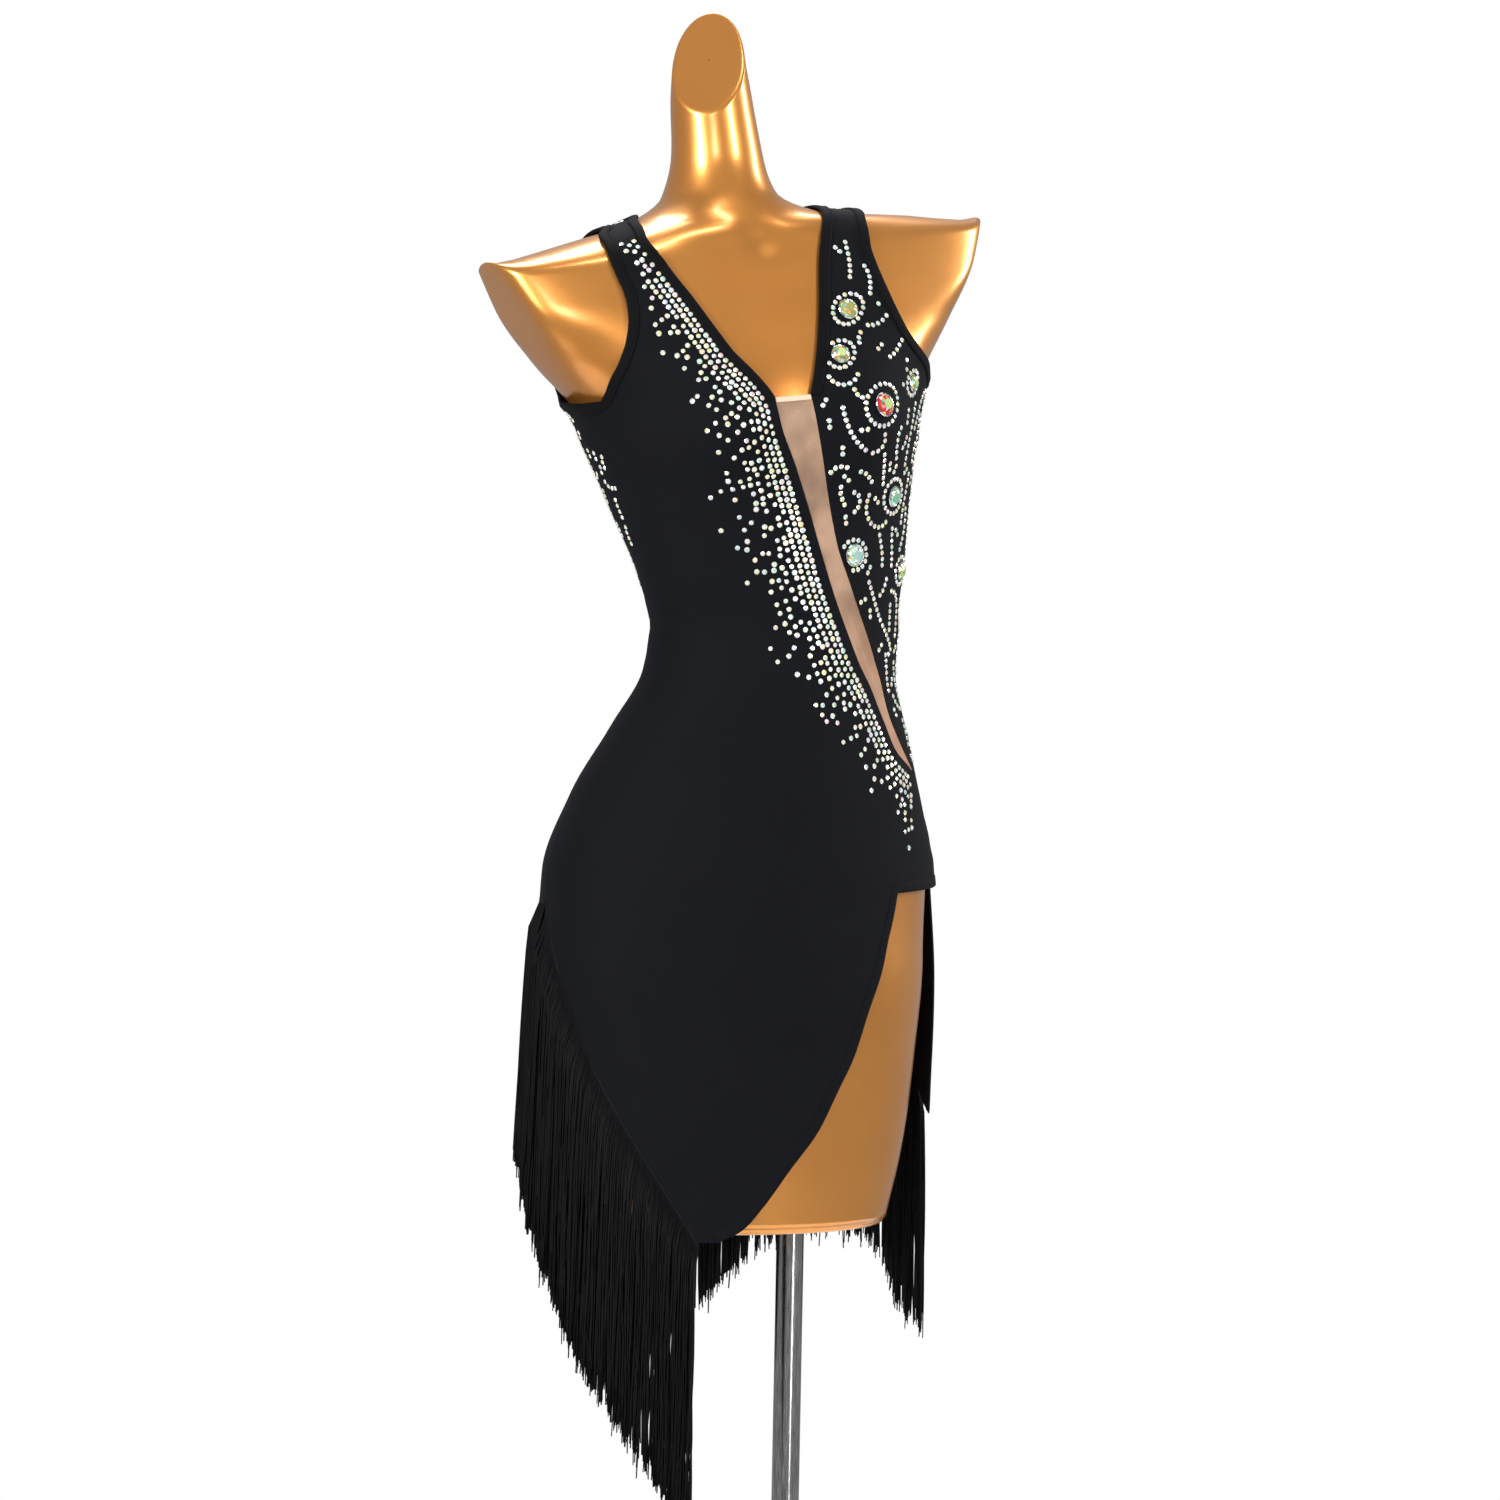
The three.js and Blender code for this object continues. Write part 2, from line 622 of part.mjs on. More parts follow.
// Strands hang straight down from a tape that runs just below the cloth's own edge places.
function fringe(line, count, strandLength) {
  const [tapeLow, tapeHigh] = [clothFrom, clothFrom + fringeTape.wall];
  const { clear, drop, endGap } = fringeTape;
  const pull = (end, next) =>
    mix(end, next, endGap / clothSurface(...end).distanceTo(clothSurface(...next)));
  const inner = [pull(line[0], line[1]), ...line.slice(1, -1), pull(line.at(-1), line.at(-2))];
  const below = (fall) => inner.map(([angle, height]) => [angle, height - fall]);
  const tape = wall(clothSurface, [[below(clear), below(clear + drop)]], tapeLow, tapeHigh);
  const roots = below(clear + drop * 0.5).map((place) =>
    proudOf(clothSurface, place, (tapeLow + tapeHigh) / 2),
  );
  const route = new THREE.CurvePath();
  for (let i = 1; i < roots.length; i++) route.add(new THREE.LineCurve3(roots[i - 1], roots[i]));
  const { x, y } = clothSections[1];
  const hung = Array.from({ length: count }, (_, i) => {
    const top = route.getPointAt((i + 0.5) / count);
    const length = strandLength + strand.ragged * wobble(i + 1);
    const outward = new THREE.Vector3(top.x - x, top.y - y, 0).setLength(strand.lean);
    const way = new THREE.Vector3(0, 0, length).sub(outward).normalize();
    const turn = new THREE.Quaternion().setFromUnitVectors(new THREE.Vector3(0, 0, 1), way);
    return solidFrom(
      new THREE.CylinderGeometry(strand.radius, strand.radius, length, strand.sides)
        .rotateX(Math.PI / 2)
        .translate(0, 0, -length / 2)
        .applyQuaternion(turn)
        .translate(...top.toArray()),
    );
  });
  return geometryFrom(hung.reduce((joined, one) => joined.add(one), solidFrom(tape)));
}

const hemLine = back.skirt.flatMap((grid, i) => grid.at(-1).slice(i));
const highest = (line) => line.reduce((top, [, height], i) => (height > line[top][1] ? i : top), 0);
const top = highest(hemLine.slice(0, 8));
const strands = {
  fringe_front: [firstOf(frontGrids.at(-1)), 60, strandLengths.front],
  fringe_back_left: [hemLine.slice(1, top + 1), 40, strandLengths.backLeft],
  fringe_back_right: [hemLine.slice(top), 96, strandLengths.backRight],
};
for (const [name, row] of Object.entries(strands)) add(name, fringe(...row), "fringe");

// Stones: low faceted domes that sit on the front and the back.
largeStones.forEach(({ angle, height, radius }, i) => {
  const outline = [[0, 0], [1, 0], [0.6, 1], [0, 1]];
  const profile = outline.map(([r, z]) => new THREE.Vector2(r * radius, z * stoneDepth));
  const geometry = new THREE.LatheGeometry(profile, 8).rotateX(Math.PI / 2);
  const { normal } = frameAt(clothSurface, [angle, height]);
  const mesh = add("stone_" + (i + 1), geometry, "crystal");
  mesh.quaternion.setFromUnitVectors(new THREE.Vector3(0, 0, 1), normal);
  mesh.position.copy(proudOf(clothSurface, [angle, height], stoneSeat));
});

// The stand: a low domed base, a collar and the pole that enters the form's socket.
function turnedSolid(outline, sides) {
  const profile = outline.map(([radius, height]) => new THREE.Vector2(radius, height));
  return new THREE.LatheGeometry(profile, sides).rotateX(Math.PI / 2);
}
const poleFrom = base.middle + standGap;
const poleTo = formBottom + pole.socket - 0.5;
const collarTop = poleFrom + collar.height;
const collarInside = pole.radius + standGap;
const baseOutline = [
  [0, 0], [base.radius - 2, 0], [base.radius, 2], [base.radius, base.edge],
  [base.radius * 0.6, base.middle - 1.5], [collar.radius + 6, base.middle], [0, base.middle],
];
const collarOutline = [
  [collarInside, poleFrom], [collar.radius, poleFrom], [collar.radius, collarTop - 3],
  [collar.radius - 3, collarTop], [collarInside, collarTop], [collarInside, poleFrom],
];
add("stand_base", turnedSolid(baseOutline, base.sides), "steel");
add(
  "stand_pole",
  new THREE.CylinderGeometry(pole.radius, pole.radius, poleTo - poleFrom, pole.sides)
    .rotateX(Math.PI / 2)
    .translate(0, 0, (poleFrom + poleTo) / 2),
  "steel",
);
add("stand_collar", turnedSolid(collarOutline, collar.sides), "steel");

export default group;
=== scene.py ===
import math

import bpy
import numpy as np
from mathutils import Matrix, Vector


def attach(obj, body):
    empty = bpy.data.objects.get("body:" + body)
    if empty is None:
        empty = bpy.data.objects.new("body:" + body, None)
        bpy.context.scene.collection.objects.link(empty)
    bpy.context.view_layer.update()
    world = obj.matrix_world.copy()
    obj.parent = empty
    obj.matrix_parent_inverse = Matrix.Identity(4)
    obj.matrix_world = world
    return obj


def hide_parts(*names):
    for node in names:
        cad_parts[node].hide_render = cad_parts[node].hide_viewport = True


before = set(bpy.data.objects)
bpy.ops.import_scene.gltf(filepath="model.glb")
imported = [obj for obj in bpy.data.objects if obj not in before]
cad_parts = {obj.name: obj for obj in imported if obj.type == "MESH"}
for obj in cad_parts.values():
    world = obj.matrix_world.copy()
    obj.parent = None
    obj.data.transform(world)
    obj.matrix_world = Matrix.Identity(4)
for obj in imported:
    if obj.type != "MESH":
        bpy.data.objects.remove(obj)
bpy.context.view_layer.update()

rng = np.random.default_rng(11)
mm = 0.001

# A place on the body is (angle, height): degrees from the front towards the wearer's left, and mm above
# the form's underside. All shapes are worked out in mm and turned to metres as they go into a mesh.

camera = {"place": (-1.3812, -3.3128, 1.2294), "azimuth": -22.0, "elevation": 1.5, "roll": 1.1, "lens": 108}


def makeCamera():
    # the way back from the object, with right and up turned about it by the roll
    azimuth, elevation, roll = (math.radians(camera[name]) for name in ("azimuth", "elevation", "roll"))
    back = Vector((math.sin(azimuth) * math.cos(elevation), -math.cos(azimuth) * math.cos(elevation),
                   math.sin(elevation)))
    right = Vector((math.cos(azimuth), math.sin(azimuth), 0))
    up = back.cross(right)
    rolledRight = right * math.cos(roll) + up * math.sin(roll)
    rolledUp = up * math.cos(roll) - right * math.sin(roll)
    eye = bpy.data.objects.new("camera", bpy.data.cameras.new("camera"))
    eye.data.lens = camera["lens"]
    eye.data.sensor_width = 36
    turn = Matrix((rolledRight, rolledUp, back)).transposed().to_4x4()
    eye.matrix_world = Matrix.Translation(camera["place"]) @ turn
    bpy.context.scene.collection.objects.link(eye)
    bpy.context.scene.camera = eye


makeCamera()
print("stage: camera")

# ---------- the body surface, the same formulas as the solids ----------
body = {"formBottom": 760.0, "neckTop": 985.0, "sideRight": -92.0, "sideLeft": 86.0, "hipLine": 262.0,
        "bustX": 66.0, "bustHeight": 632.0, "bustRadius": 52.0, "bustDepth": 20.0}
mmPerDegree = 2.2  # round the body, at the hips' size

upperSections = [
    [330, -40.5, 6, -3, 142.5, 104, 116],
    [390, -35.5, -2, -1, 118.5, 90, 92], [440, -30, -6, 1, 99.5, 82, 78], [475, -27, -7, 2, 97.5, 80, 76],
    [520, -30, -5, 3, 105.5, 84, 82], [580, -39, 0, 5, 120.5, 94, 94], [630, -45, 4, 6, 135.5, 98, 102],
    [660, -47, 6, 7, 148, 96, 103], [700, -52, 9, 8, 188, 88, 98], [740, -57, 12, 8, 230, 77, 88],
    [768, -61, 14, 8, 233, 69, 78], [784, -66, 15, 8, 161, 63, 71], [798, -69, 16, 6, 76, 56, 62],
    [815, -72, 16, 4, 45, 48, 52], [845, -75, 14, 3, 36, 38, 40], [890, -82, 11, 2, 32, 34, 34],
    [930, -86.5, 8, 2, 27.5, 31, 31], [985, -90, 6, 2, 26.5, 29, 29]]
formRows = [[0, -37, 0, 0, 113, 84, 86], [60, -39, 2, -1, 129, 93, 97], [140, -44, 6, -2, 145, 104, 113],
            [220, -48, 10, -3, 156, 112, 128], [270, -45.5, 12, -3, 155, 112, 130]] + upperSections
clothRows = [[-60, -37, 6, -1, 151, 104, 128], [0, -38, 7, -1, 153, 105, 129],
             [100, -40, 9, -2, 158, 109, 130], [200, -42.5, 10, -3, 162.5, 113, 131],
             [270, -43, 12, -3, 159, 113, 131]] + upperSections
sectionColumns = "height x y tilt half front back"


def table(names, rows):
    # rows of numbers as named columns
    return {name: np.array([row[i] for row in rows], float) for i, name in enumerate(names.split())}


def smoothCurve(at, values):
    # a cubic through the points; the slope at each is the harmonic mean of the straight slopes beside it
    at, values = np.asarray(at, float), np.asarray(values, float)
    straight = np.diff(values) / np.diff(at)
    before = np.concatenate([straight[:1], straight])
    after = np.concatenate([straight, straight[-1:]])
    product = before * after
    slopes = np.where(product > 0, 2 * product / np.where(product > 0, before + after, 1), 0)

    def curve(place):
        i = np.clip(np.searchsorted(at, place, side="right") - 1, 0, len(at) - 2)
        span = at[i + 1] - at[i]
        t = np.clip((place - at[i]) / span, 0, 1)
        rise = t * t * (3 - 2 * t)
        bend = span * t * (1 - t) * ((1 - t) * slopes[i] - t * slopes[i + 1])
        return values[i] * (1 - rise) + values[i + 1] * rise + bend

    return curve


def sectionCurves(rows):
    # one smooth curve over the height for each column
    columns = table(sectionColumns, rows)
    return {name: smoothCurve(columns["height"], columns[name]) for name in columns if name != "height"}


def bodySurface(curves):
    # level ellipses of varying centre, width and depth, tilted sideways, with a soft swell on each side

    def surface(places):
        angle, height = np.radians(places[..., 0]), places[..., 1]
        across = curves["half"](height) * np.sin(angle)
        facing = np.cos(angle)
        depth = -np.where(facing >= 0, curves["front"](height), curves["back"](height)) * facing
        for side in (-body["bustX"], body["bustX"]):
            u = (across - side) / body["bustRadius"]
            v = (height - body["bustHeight"]) / (1.05 * body["bustRadius"])
            depth = depth - body["bustDepth"] * np.exp(-1.4 * (u * u + v * v)) * np.clip(3 * facing, 0, 1)
        lean = np.radians(curves["tilt"](height))
        return np.stack([curves["x"](height) + across * np.cos(lean), curves["y"](height) + depth,
                         body["formBottom"] + height + across * np.sin(lean)], axis=-1)

    return surface


clothCurves = sectionCurves(clothRows)
formSurface = bodySurface(sectionCurves(formRows))
clothSurface = bodySurface(clothCurves)


def unit(vectors):
    return vectors / np.maximum(np.linalg.norm(vectors, axis=-1, keepdims=True), 1e-9)


def slopesAt(surface, places):
    # the surface's change for one degree round and one mm up, and its outward normal
    round_, up = np.array([0.5, 0.0]), np.array([0.0, 0.5])
    across = surface(places + round_) - surface(places - round_)
    rise = surface(places + up) - surface(places - up)
    return across, rise, unit(np.cross(across, rise))


def proudOf(surface, places, distance):
    # the surface moved out along its normal by a distance in mm
    normal = slopesAt(surface, places)[2]
    return surface(places) + np.asarray(distance)[..., None] * normal


def mix(a, b, t):
    # a share t of the way from a to b
    return a + (b - a) * t


def smoothEdge(places):
    # one smooth line through a few places, from 0 to 1
    places = np.array(places, float)
    at = np.linspace(0, 1, len(places))
    angle, height = smoothCurve(at, places[:, 0]), smoothCurve(at, places[:, 1])
    return lambda t: np.stack([angle(t), height(t)], axis=-1)


def straightEdge(a, b):
    # places evenly from one to the other
    return lambda t: mix(np.array(a, float), np.array(b, float), np.asarray(t)[..., None])


def followedBy(first, second, share):
    # one edge up to a share of the way, then another
    def edge(t):
        t = np.asarray(t, float)
        start, end = np.clip(t / share, 0, 1), np.clip((t - share) / (1 - share), 0, 1)
        return np.where((t <= share)[..., None], first(start), second(end))

    return edge


def travelledAlong(points):
    # the length in mm from a line's first point to each of its points
    return np.concatenate([[0], np.cumsum(np.linalg.norm(np.diff(points, axis=0), axis=1))])


def shares(points):
    # the same length as a share of the whole, from 0 to 1
    reached = travelledAlong(points)
    return reached / reached[-1]


def pickedAt(at, travelled, values):
    # each column of the values, read off at lengths along the line
    return np.stack([np.interp(at, travelled, column) for column in values.T], axis=-1)


def besideLine(spots, start, end):
    # how far along a straight line each spot stands, from 0 to 1, and how far the spot is from it
    length = end - start
    t = np.clip(((spots - start) @ length) / (length @ length), 0, 1)
    return t, np.linalg.norm(spots - start - t[..., None] * length, axis=-1)


def placeInView(x, level, isBack):
    # the places that stand at x and a height in the front view, found by halving
    low, high = np.full(len(x), body["bustHeight"]), np.full(len(x), body["neckTop"])
    for _ in range(40):
        middle = (low + high) / 2
        rise = (x - clothCurves["x"](middle)) * np.tan(np.radians(clothCurves["tilt"](middle)))
        above = level - middle > rise
        low, high = np.where(above, middle, low), np.where(above, high, middle)
    reach = clothCurves["half"](low) * np.cos(np.radians(clothCurves["tilt"](low)))
    angle = np.degrees(np.arcsin(np.clip((x - clothCurves["x"](low)) / reach, -1, 1)))
    return np.stack([180 - angle if isBack else angle, low], axis=-1)


def shoulderEdge(edge, isBack=False):
    # from a place on the shoulder's ridge, down a smooth curve of the front view, then on through places
    top = clothSurface(np.array(edge["ridge"], float))
    points = np.array([[top[0], top[2] - body["formBottom"]]] + edge["view"], float)
    at = shares(points)
    x, level = smoothCurve(at, points[:, 0]), smoothCurve(at, points[:, 1])
    t = np.linspace(0, 1, 25)[1:] ** 2
    line = np.concatenate([[edge["ridge"]], placeInView(x(t), level(t), isBack), edge["places"]])
    along = shares(clothSurface(line))
    angle, height = smoothCurve(along, line[:, 0]), smoothCurve(along, line[:, 1])
    return lambda t: np.stack([angle(t), height(t)], axis=-1)


def ruled(left, right, rows, columns, gaps=(0, 0)):
    # straight rows of places from a left edge to a right edge, each held back by a gap in mm
    t = np.linspace(0, 1, rows + 1)
    a, b = left(t), right(t)
    width = np.linalg.norm(clothSurface(a) - clothSurface(b), axis=-1)
    s = np.linspace(0, 1, columns + 1)[None, :]
    start, end = gaps[0] / width[:, None], 1 - gaps[1] / width[:, None]
    return mix(a[:, None], b[:, None], (start + (end - start) * s)[..., None])


def walk(places, along, distance):
    # moves places over the cloth by a length in mm, to the left of a direction seen from outside
    places = np.array(places, float)
    steps = 5
    for _ in range(steps):
        across, rise, normal = slopesAt(clothSurface, places)
        sideways = unit(np.cross(normal, along))
        aa, au, uu = (across * across).sum(-1), (across * rise).sum(-1), (rise * rise).sum(-1)
        sa, su = (across * sideways).sum(-1), (rise * sideways).sum(-1)
        scale = distance / steps / (aa * uu - au * au)
        places = places + np.stack([scale * (sa * uu - su * au), scale * (su * aa - sa * au)], axis=-1)
    return places


def headings(line, closed=False):
    # which way a line runs over the cloth at each of its places
    points = clothSurface(line)
    if closed:
        return np.roll(points, -1, axis=0) - np.roll(points, 1, axis=0)
    return np.gradient(points, axis=0)


# ---------- meshes ----------
def srgb(code):
    # a hex colour as linear light
    values = [int(code[i:i + 2], 16) / 255 for i in (1, 3, 5)]
    return tuple(v / 12.92 if v <= 0.04045 else ((v + 0.055) / 1.055) ** 2.4 for v in values) + (1.0,)


def makePiece(name, points, faces, material, smooth=True, uv=None, sharp=None):
    # points in mm; faces as lists of corners; uv in mm for each point
    mesh = bpy.data.meshes.new(name)
    mesh.from_pydata((np.asarray(points) * mm).tolist(), [], [list(face) for face in faces])
    mesh.update()
    if uv is not None:
        corners = np.zeros(len(mesh.loops), np.int32)
        mesh.loops.foreach_get("vertex_index", corners)
        layer = mesh.uv_layers.new(name="weave")
        layer.data.foreach_set("uv", (np.asarray(uv)[corners] * mm).astype(np.float32).ravel())
    mesh.polygons.foreach_set("use_smooth", np.full(len(mesh.polygons), smooth))
    if sharp is not None:
        mesh.set_sharp_from_angle(angle=math.radians(sharp))
    mesh.materials.append(material)
    piece = bpy.data.objects.new(name, mesh)
    bpy.context.scene.collection.objects.link(piece)
    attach(piece, "root")
    return piece


def gridFaces(rows, columns, closeColumns=False):
    # a four-cornered face between neighbours in a grid; closed columns join the last to the first
    i = np.arange(rows - 1)[:, None]
    j = np.arange(columns if closeColumns else columns - 1)[None, :]
    nextJ = (j + 1) % columns
    corners = [i * columns + j, (i + 1) * columns + j, (i + 1) * columns + nextJ, i * columns + nextJ]
    return np.stack(np.broadcast_arrays(*corners), axis=-1).reshape(-1, 4)


def ringFaces(rows, columns):
    # rings stacked from the first to the last, with one flat face over each end
    last = (rows - 1) * columns
    ends = [list(range(columns))[::-1], list(range(last, last + columns))]
    return gridFaces(rows, columns, closeColumns=True).tolist() + ends


def clothUv(places):
    # mm round the body at the hips' size, and mm up
    return np.stack([places[:, 0] * mmPerDegree, places[:, 1]], axis=-1)


def wallPiece(name, sheets, material, sharp=50):
    # closed walls: each sheet is a grid of places with an outer and an inner distance for each place.
    # Grids that share a row of places join there, and open borders get a rim.
    places, high, low, faces, count = [], [], [], [], 0
    for grid, outer, inner in sheets:
        rows, columns = grid.shape[:2]
        places.append(grid.reshape(-1, 2))
        high.append(np.broadcast_to(outer, (rows, columns)).ravel())
        low.append(np.broadcast_to(inner, (rows, columns)).ravel())
        faces.append(gridFaces(rows, columns) + count)
        count += rows * columns
    places, high, low, faces = (np.concatenate(part) for part in (places, high, low, faces))
    _, first, index = np.unique(np.round(places, 4), axis=0, return_index=True, return_inverse=True)
    places, high, low = places[first], high[first], low[first]
    faces = index.reshape(-1)[faces]
    count = len(places)
    edges = np.concatenate([faces[:, [k, (k + 1) % 4]] for k in range(4)])
    forward, backward = edges[:, 0] * count + edges[:, 1], edges[:, 1] * count + edges[:, 0]
    rim = edges[~np.isin(forward, backward)]
    rim = rim[rim[:, 0] != rim[:, 1]]
    sides = np.stack([rim[:, 1], rim[:, 0], rim[:, 0] + count, rim[:, 1] + count], axis=-1)
    points = np.concatenate([proudOf(clothSurface, places, high), proudOf(clothSurface, places, low)])
    allFaces = np.concatenate([faces, faces[:, ::-1] + count, sides])
    uv = np.concatenate([clothUv(places)] * 2)
    return makePiece(name, points, allFaces, material, uv=uv, sharp=sharp)


# ---------- materials ----------
def addNode(tree, kind, inputs=None, **settings):
    # one node with its settings, and a link or a value for each input
    node = tree.nodes.new(kind)
    for name, value in settings.items():
        setattr(node, name, value)
    for name, value in (inputs or {}).items():
        if isinstance(value, bpy.types.NodeSocket):
            tree.links.new(value, node.inputs[name])
        else:
            node.inputs[name].default_value = value
    return node


def newMaterial(name, **shader):
    # a shader with its values; a socket's spaces are written as underscores
    material = bpy.data.materials.new(name)
    material.use_nodes = True
    tree = material.node_tree
    principled = tree.nodes["Principled BSDF"]
    for socket, value in shader.items():
        principled.inputs[socket.replace("_", " ")].default_value = value
    return material, tree, principled


def ramp(tree, factor, stops):
    # a factor turned into colours, each stop a position and a hex colour
    node = addNode(tree, "ShaderNodeValToRGB", {"Fac": factor})
    elements = node.color_ramp.elements
    while len(elements) < len(stops):
        elements.new(0.5)
    for element, (at, value) in zip(elements, stops):
        element.position = at
        element.color = srgb(value)
    return node.outputs["Color"]


def jerseyMaterial(name, colour, light, waleMm=1.4):
    # black polyamide-elastane jersey, warp knitted: fine upright ribs, drawn coarser than the real 0.5 mm
    material, tree, shader = newMaterial(name, Roughness=0.8, Sheen_Weight=0.025, Sheen_Roughness=0.5)
    shader.inputs["Sheen Tint"].default_value = srgb("#8d93a3")
    shader.inputs["Specular IOR Level"].default_value = 0.1
    uv = addNode(tree, "ShaderNodeUVMap", uv_map="weave").outputs["UV"]
    wales = addNode(tree, "ShaderNodeTexWave", {"Vector": uv, "Scale": 1 / (waleMm * mm) / 20 * 6.283 / 2,
                    "Distortion": 0.6, "Detail": 1.0, "Detail Scale": 2.0}, bands_direction="X")
    where = addNode(tree, "ShaderNodeTexCoord").outputs["Object"]
    cloud = addNode(tree, "ShaderNodeTexNoise", {"Vector": where, "Scale": 9.0, "Detail": 3.0})
    tone = ramp(tree, cloud.outputs["Fac"], [(0.3, colour), (0.7, light)])
    tree.links.new(tone, shader.inputs["Base Color"])
    fine = addNode(tree, "ShaderNodeTexNoise", {"Vector": where, "Scale": 1400.0, "Detail": 2.0})
    both = addNode(tree, "ShaderNodeMath", {0: wales.outputs["Fac"], 1: fine.outputs["Fac"]}, operation="ADD")
    bump = addNode(tree, "ShaderNodeBump", {"Height": both.outputs[0], "Strength": 0.25, "Distance": 0.0002})
    tree.links.new(bump.outputs["Normal"], shader.inputs["Normal"])
    return material


def meshMaterial():
    # nude stretch tulle over the form: a fine net, warm grey brown with a dull sheen
    material, tree, shader = newMaterial("nude stretch mesh, knitted", Roughness=0.55, Sheen_Weight=0.25)
    shader.inputs["Sheen Tint"].default_value = srgb("#e9d4c4")
    uv = addNode(tree, "ShaderNodeUVMap", uv_map="weave").outputs["UV"]
    cells = addNode(tree, "ShaderNodeTexVoronoi", {"Vector": uv, "Scale": 900.0}, feature="DISTANCE_TO_EDGE")
    where = addNode(tree, "ShaderNodeTexCoord").outputs["Object"]
    streaks = addNode(tree, "ShaderNodeTexNoise", {"Vector": where, "Scale": 28.0, "Detail": 2.0})
    tone = ramp(tree, streaks.outputs["Fac"], [(0.35, "#7d5d46"), (0.5, "#917056"), (0.66, "#ac896e")])
    height = addNode(tree, "ShaderNodeSeparateXYZ", {"Vector": where}).outputs["Z"]
    low = addNode(tree, "ShaderNodeMapRange",
                  {"Value": height, "From Min": 1.26, "From Max": 1.13, "To Max": 0.6})
    warm = addNode(tree, "ShaderNodeMix", {"Factor": low.outputs["Result"], "A": tone, "B": srgb("#a3683c")},
                   data_type="RGBA")
    holes = addNode(tree, "ShaderNodeMix", {"Factor": cells.outputs["Distance"], "A": warm.outputs["Result"],
                    "B": srgb("#5f4636")}, data_type="RGBA")
    tree.links.new(holes.outputs["Result"], shader.inputs["Base Color"])
    bump = addNode(tree, "ShaderNodeBump", {"Height": cells.outputs["Distance"], "Strength": 0.2,
                   "Distance": 0.0002}, invert=True)
    tree.links.new(bump.outputs["Normal"], shader.inputs["Normal"])
    return material


def fringeMaterial():
    # viscose chainette cord: looped yarn, near black, a dull silk shine along each strand; painted shade
    # darkens the grooves between the loops
    material, tree, shader = newMaterial("viscose fringe cord, chain looped", Roughness=0.6,
                                         Sheen_Weight=0.015)
    shader.inputs["Sheen Tint"].default_value = srgb("#6c7486")
    shader.inputs["Specular IOR Level"].default_value = 0.12
    uv = addNode(tree, "ShaderNodeUVMap", uv_map="weave").outputs["UV"]
    loops = addNode(tree, "ShaderNodeTexWave", {"Vector": uv, "Scale": 300.0, "Distortion": 1.0},
                    bands_direction="DIAGONAL")
    # painted shade: the tone follows the loops' bump, darker where it sinks
    tone = ramp(tree, loops.outputs["Fac"], [(0.2, "#020203"), (0.8, "#07080b")])
    tree.links.new(tone, shader.inputs["Base Color"])
    bump = addNode(tree, "ShaderNodeBump",
                   {"Height": loops.outputs["Fac"], "Strength": 0.4, "Distance": 0.0003})
    tree.links.new(bump.outputs["Normal"], shader.inputs["Normal"])
    return material


def goldMaterial():
    # glass-fibre shell sprayed with metallic gold under a clear gloss coat: deep orange, cream highlights
    material, tree, shader = newMaterial("glass fibre, sprayed gold lacquer", Metallic=0.78, Roughness=0.33,
                                         Coat_Weight=0.7, Coat_Roughness=0.16)
    where = addNode(tree, "ShaderNodeTexCoord").outputs["Object"]
    cloud = addNode(tree, "ShaderNodeTexNoise", {"Vector": where, "Scale": 6.0, "Detail": 4.0})
    tone = ramp(tree, cloud.outputs["Fac"], [(0.3, "#cf8537"), (0.7, "#db9548")])
    tree.links.new(tone, shader.inputs["Base Color"])
    peel = addNode(tree, "ShaderNodeTexNoise", {"Vector": where, "Scale": 45.0, "Detail": 2.0})
    bump = addNode(tree, "ShaderNodeBump",
                   {"Height": peel.outputs["Fac"], "Strength": 0.08, "Distance": 0.002})
    tree.links.new(bump.outputs["Normal"], shader.inputs["Normal"])
    flakes = addNode(tree, "ShaderNodeTexNoise", {"Vector": where, "Scale": 900.0, "Detail": 1.0})
    rough = addNode(tree, "ShaderNodeMapRange",
                    {"Value": flakes.outputs["Fac"], "To Min": 0.27, "To Max": 0.35})
    tree.links.new(rough.outputs["Result"], shader.inputs["Roughness"])
    return material


def crystalMaterial(name, metal, rough):
    # flat-backed glass stones with an iridescent coat on a silver foil: bright; each facet's base colour is
    # the stone's own colour or a painted glint, mixed with the coat's own pale colours
    material, tree, shader = newMaterial(name, Metallic=metal, Roughness=rough, Coat_Weight=1.0,
                                         Coat_Roughness=0.02)
    tint = addNode(tree, "ShaderNodeAttribute", attribute_name="tint")
    where = addNode(tree, "ShaderNodeTexCoord").outputs["Object"]
    shift = addNode(tree, "ShaderNodeTexNoise", {"Vector": where, "Scale": 260.0, "Detail": 1.0})
    coatTints = [(0.3, "#ffe9d2"), (0.45, "#ffffff"), (0.6, "#dcf5e6"), (0.75, "#e6e0ff")]
    coat = ramp(tree, shift.outputs["Fac"], coatTints)
    both = addNode(tree, "ShaderNodeMix", {"Factor": 0.5, "A": tint.outputs["Color"], "B": coat},
                   data_type="RGBA", blend_type="MULTIPLY")
    tree.links.new(both.outputs["Result"], shader.inputs["Base Color"])
    return material


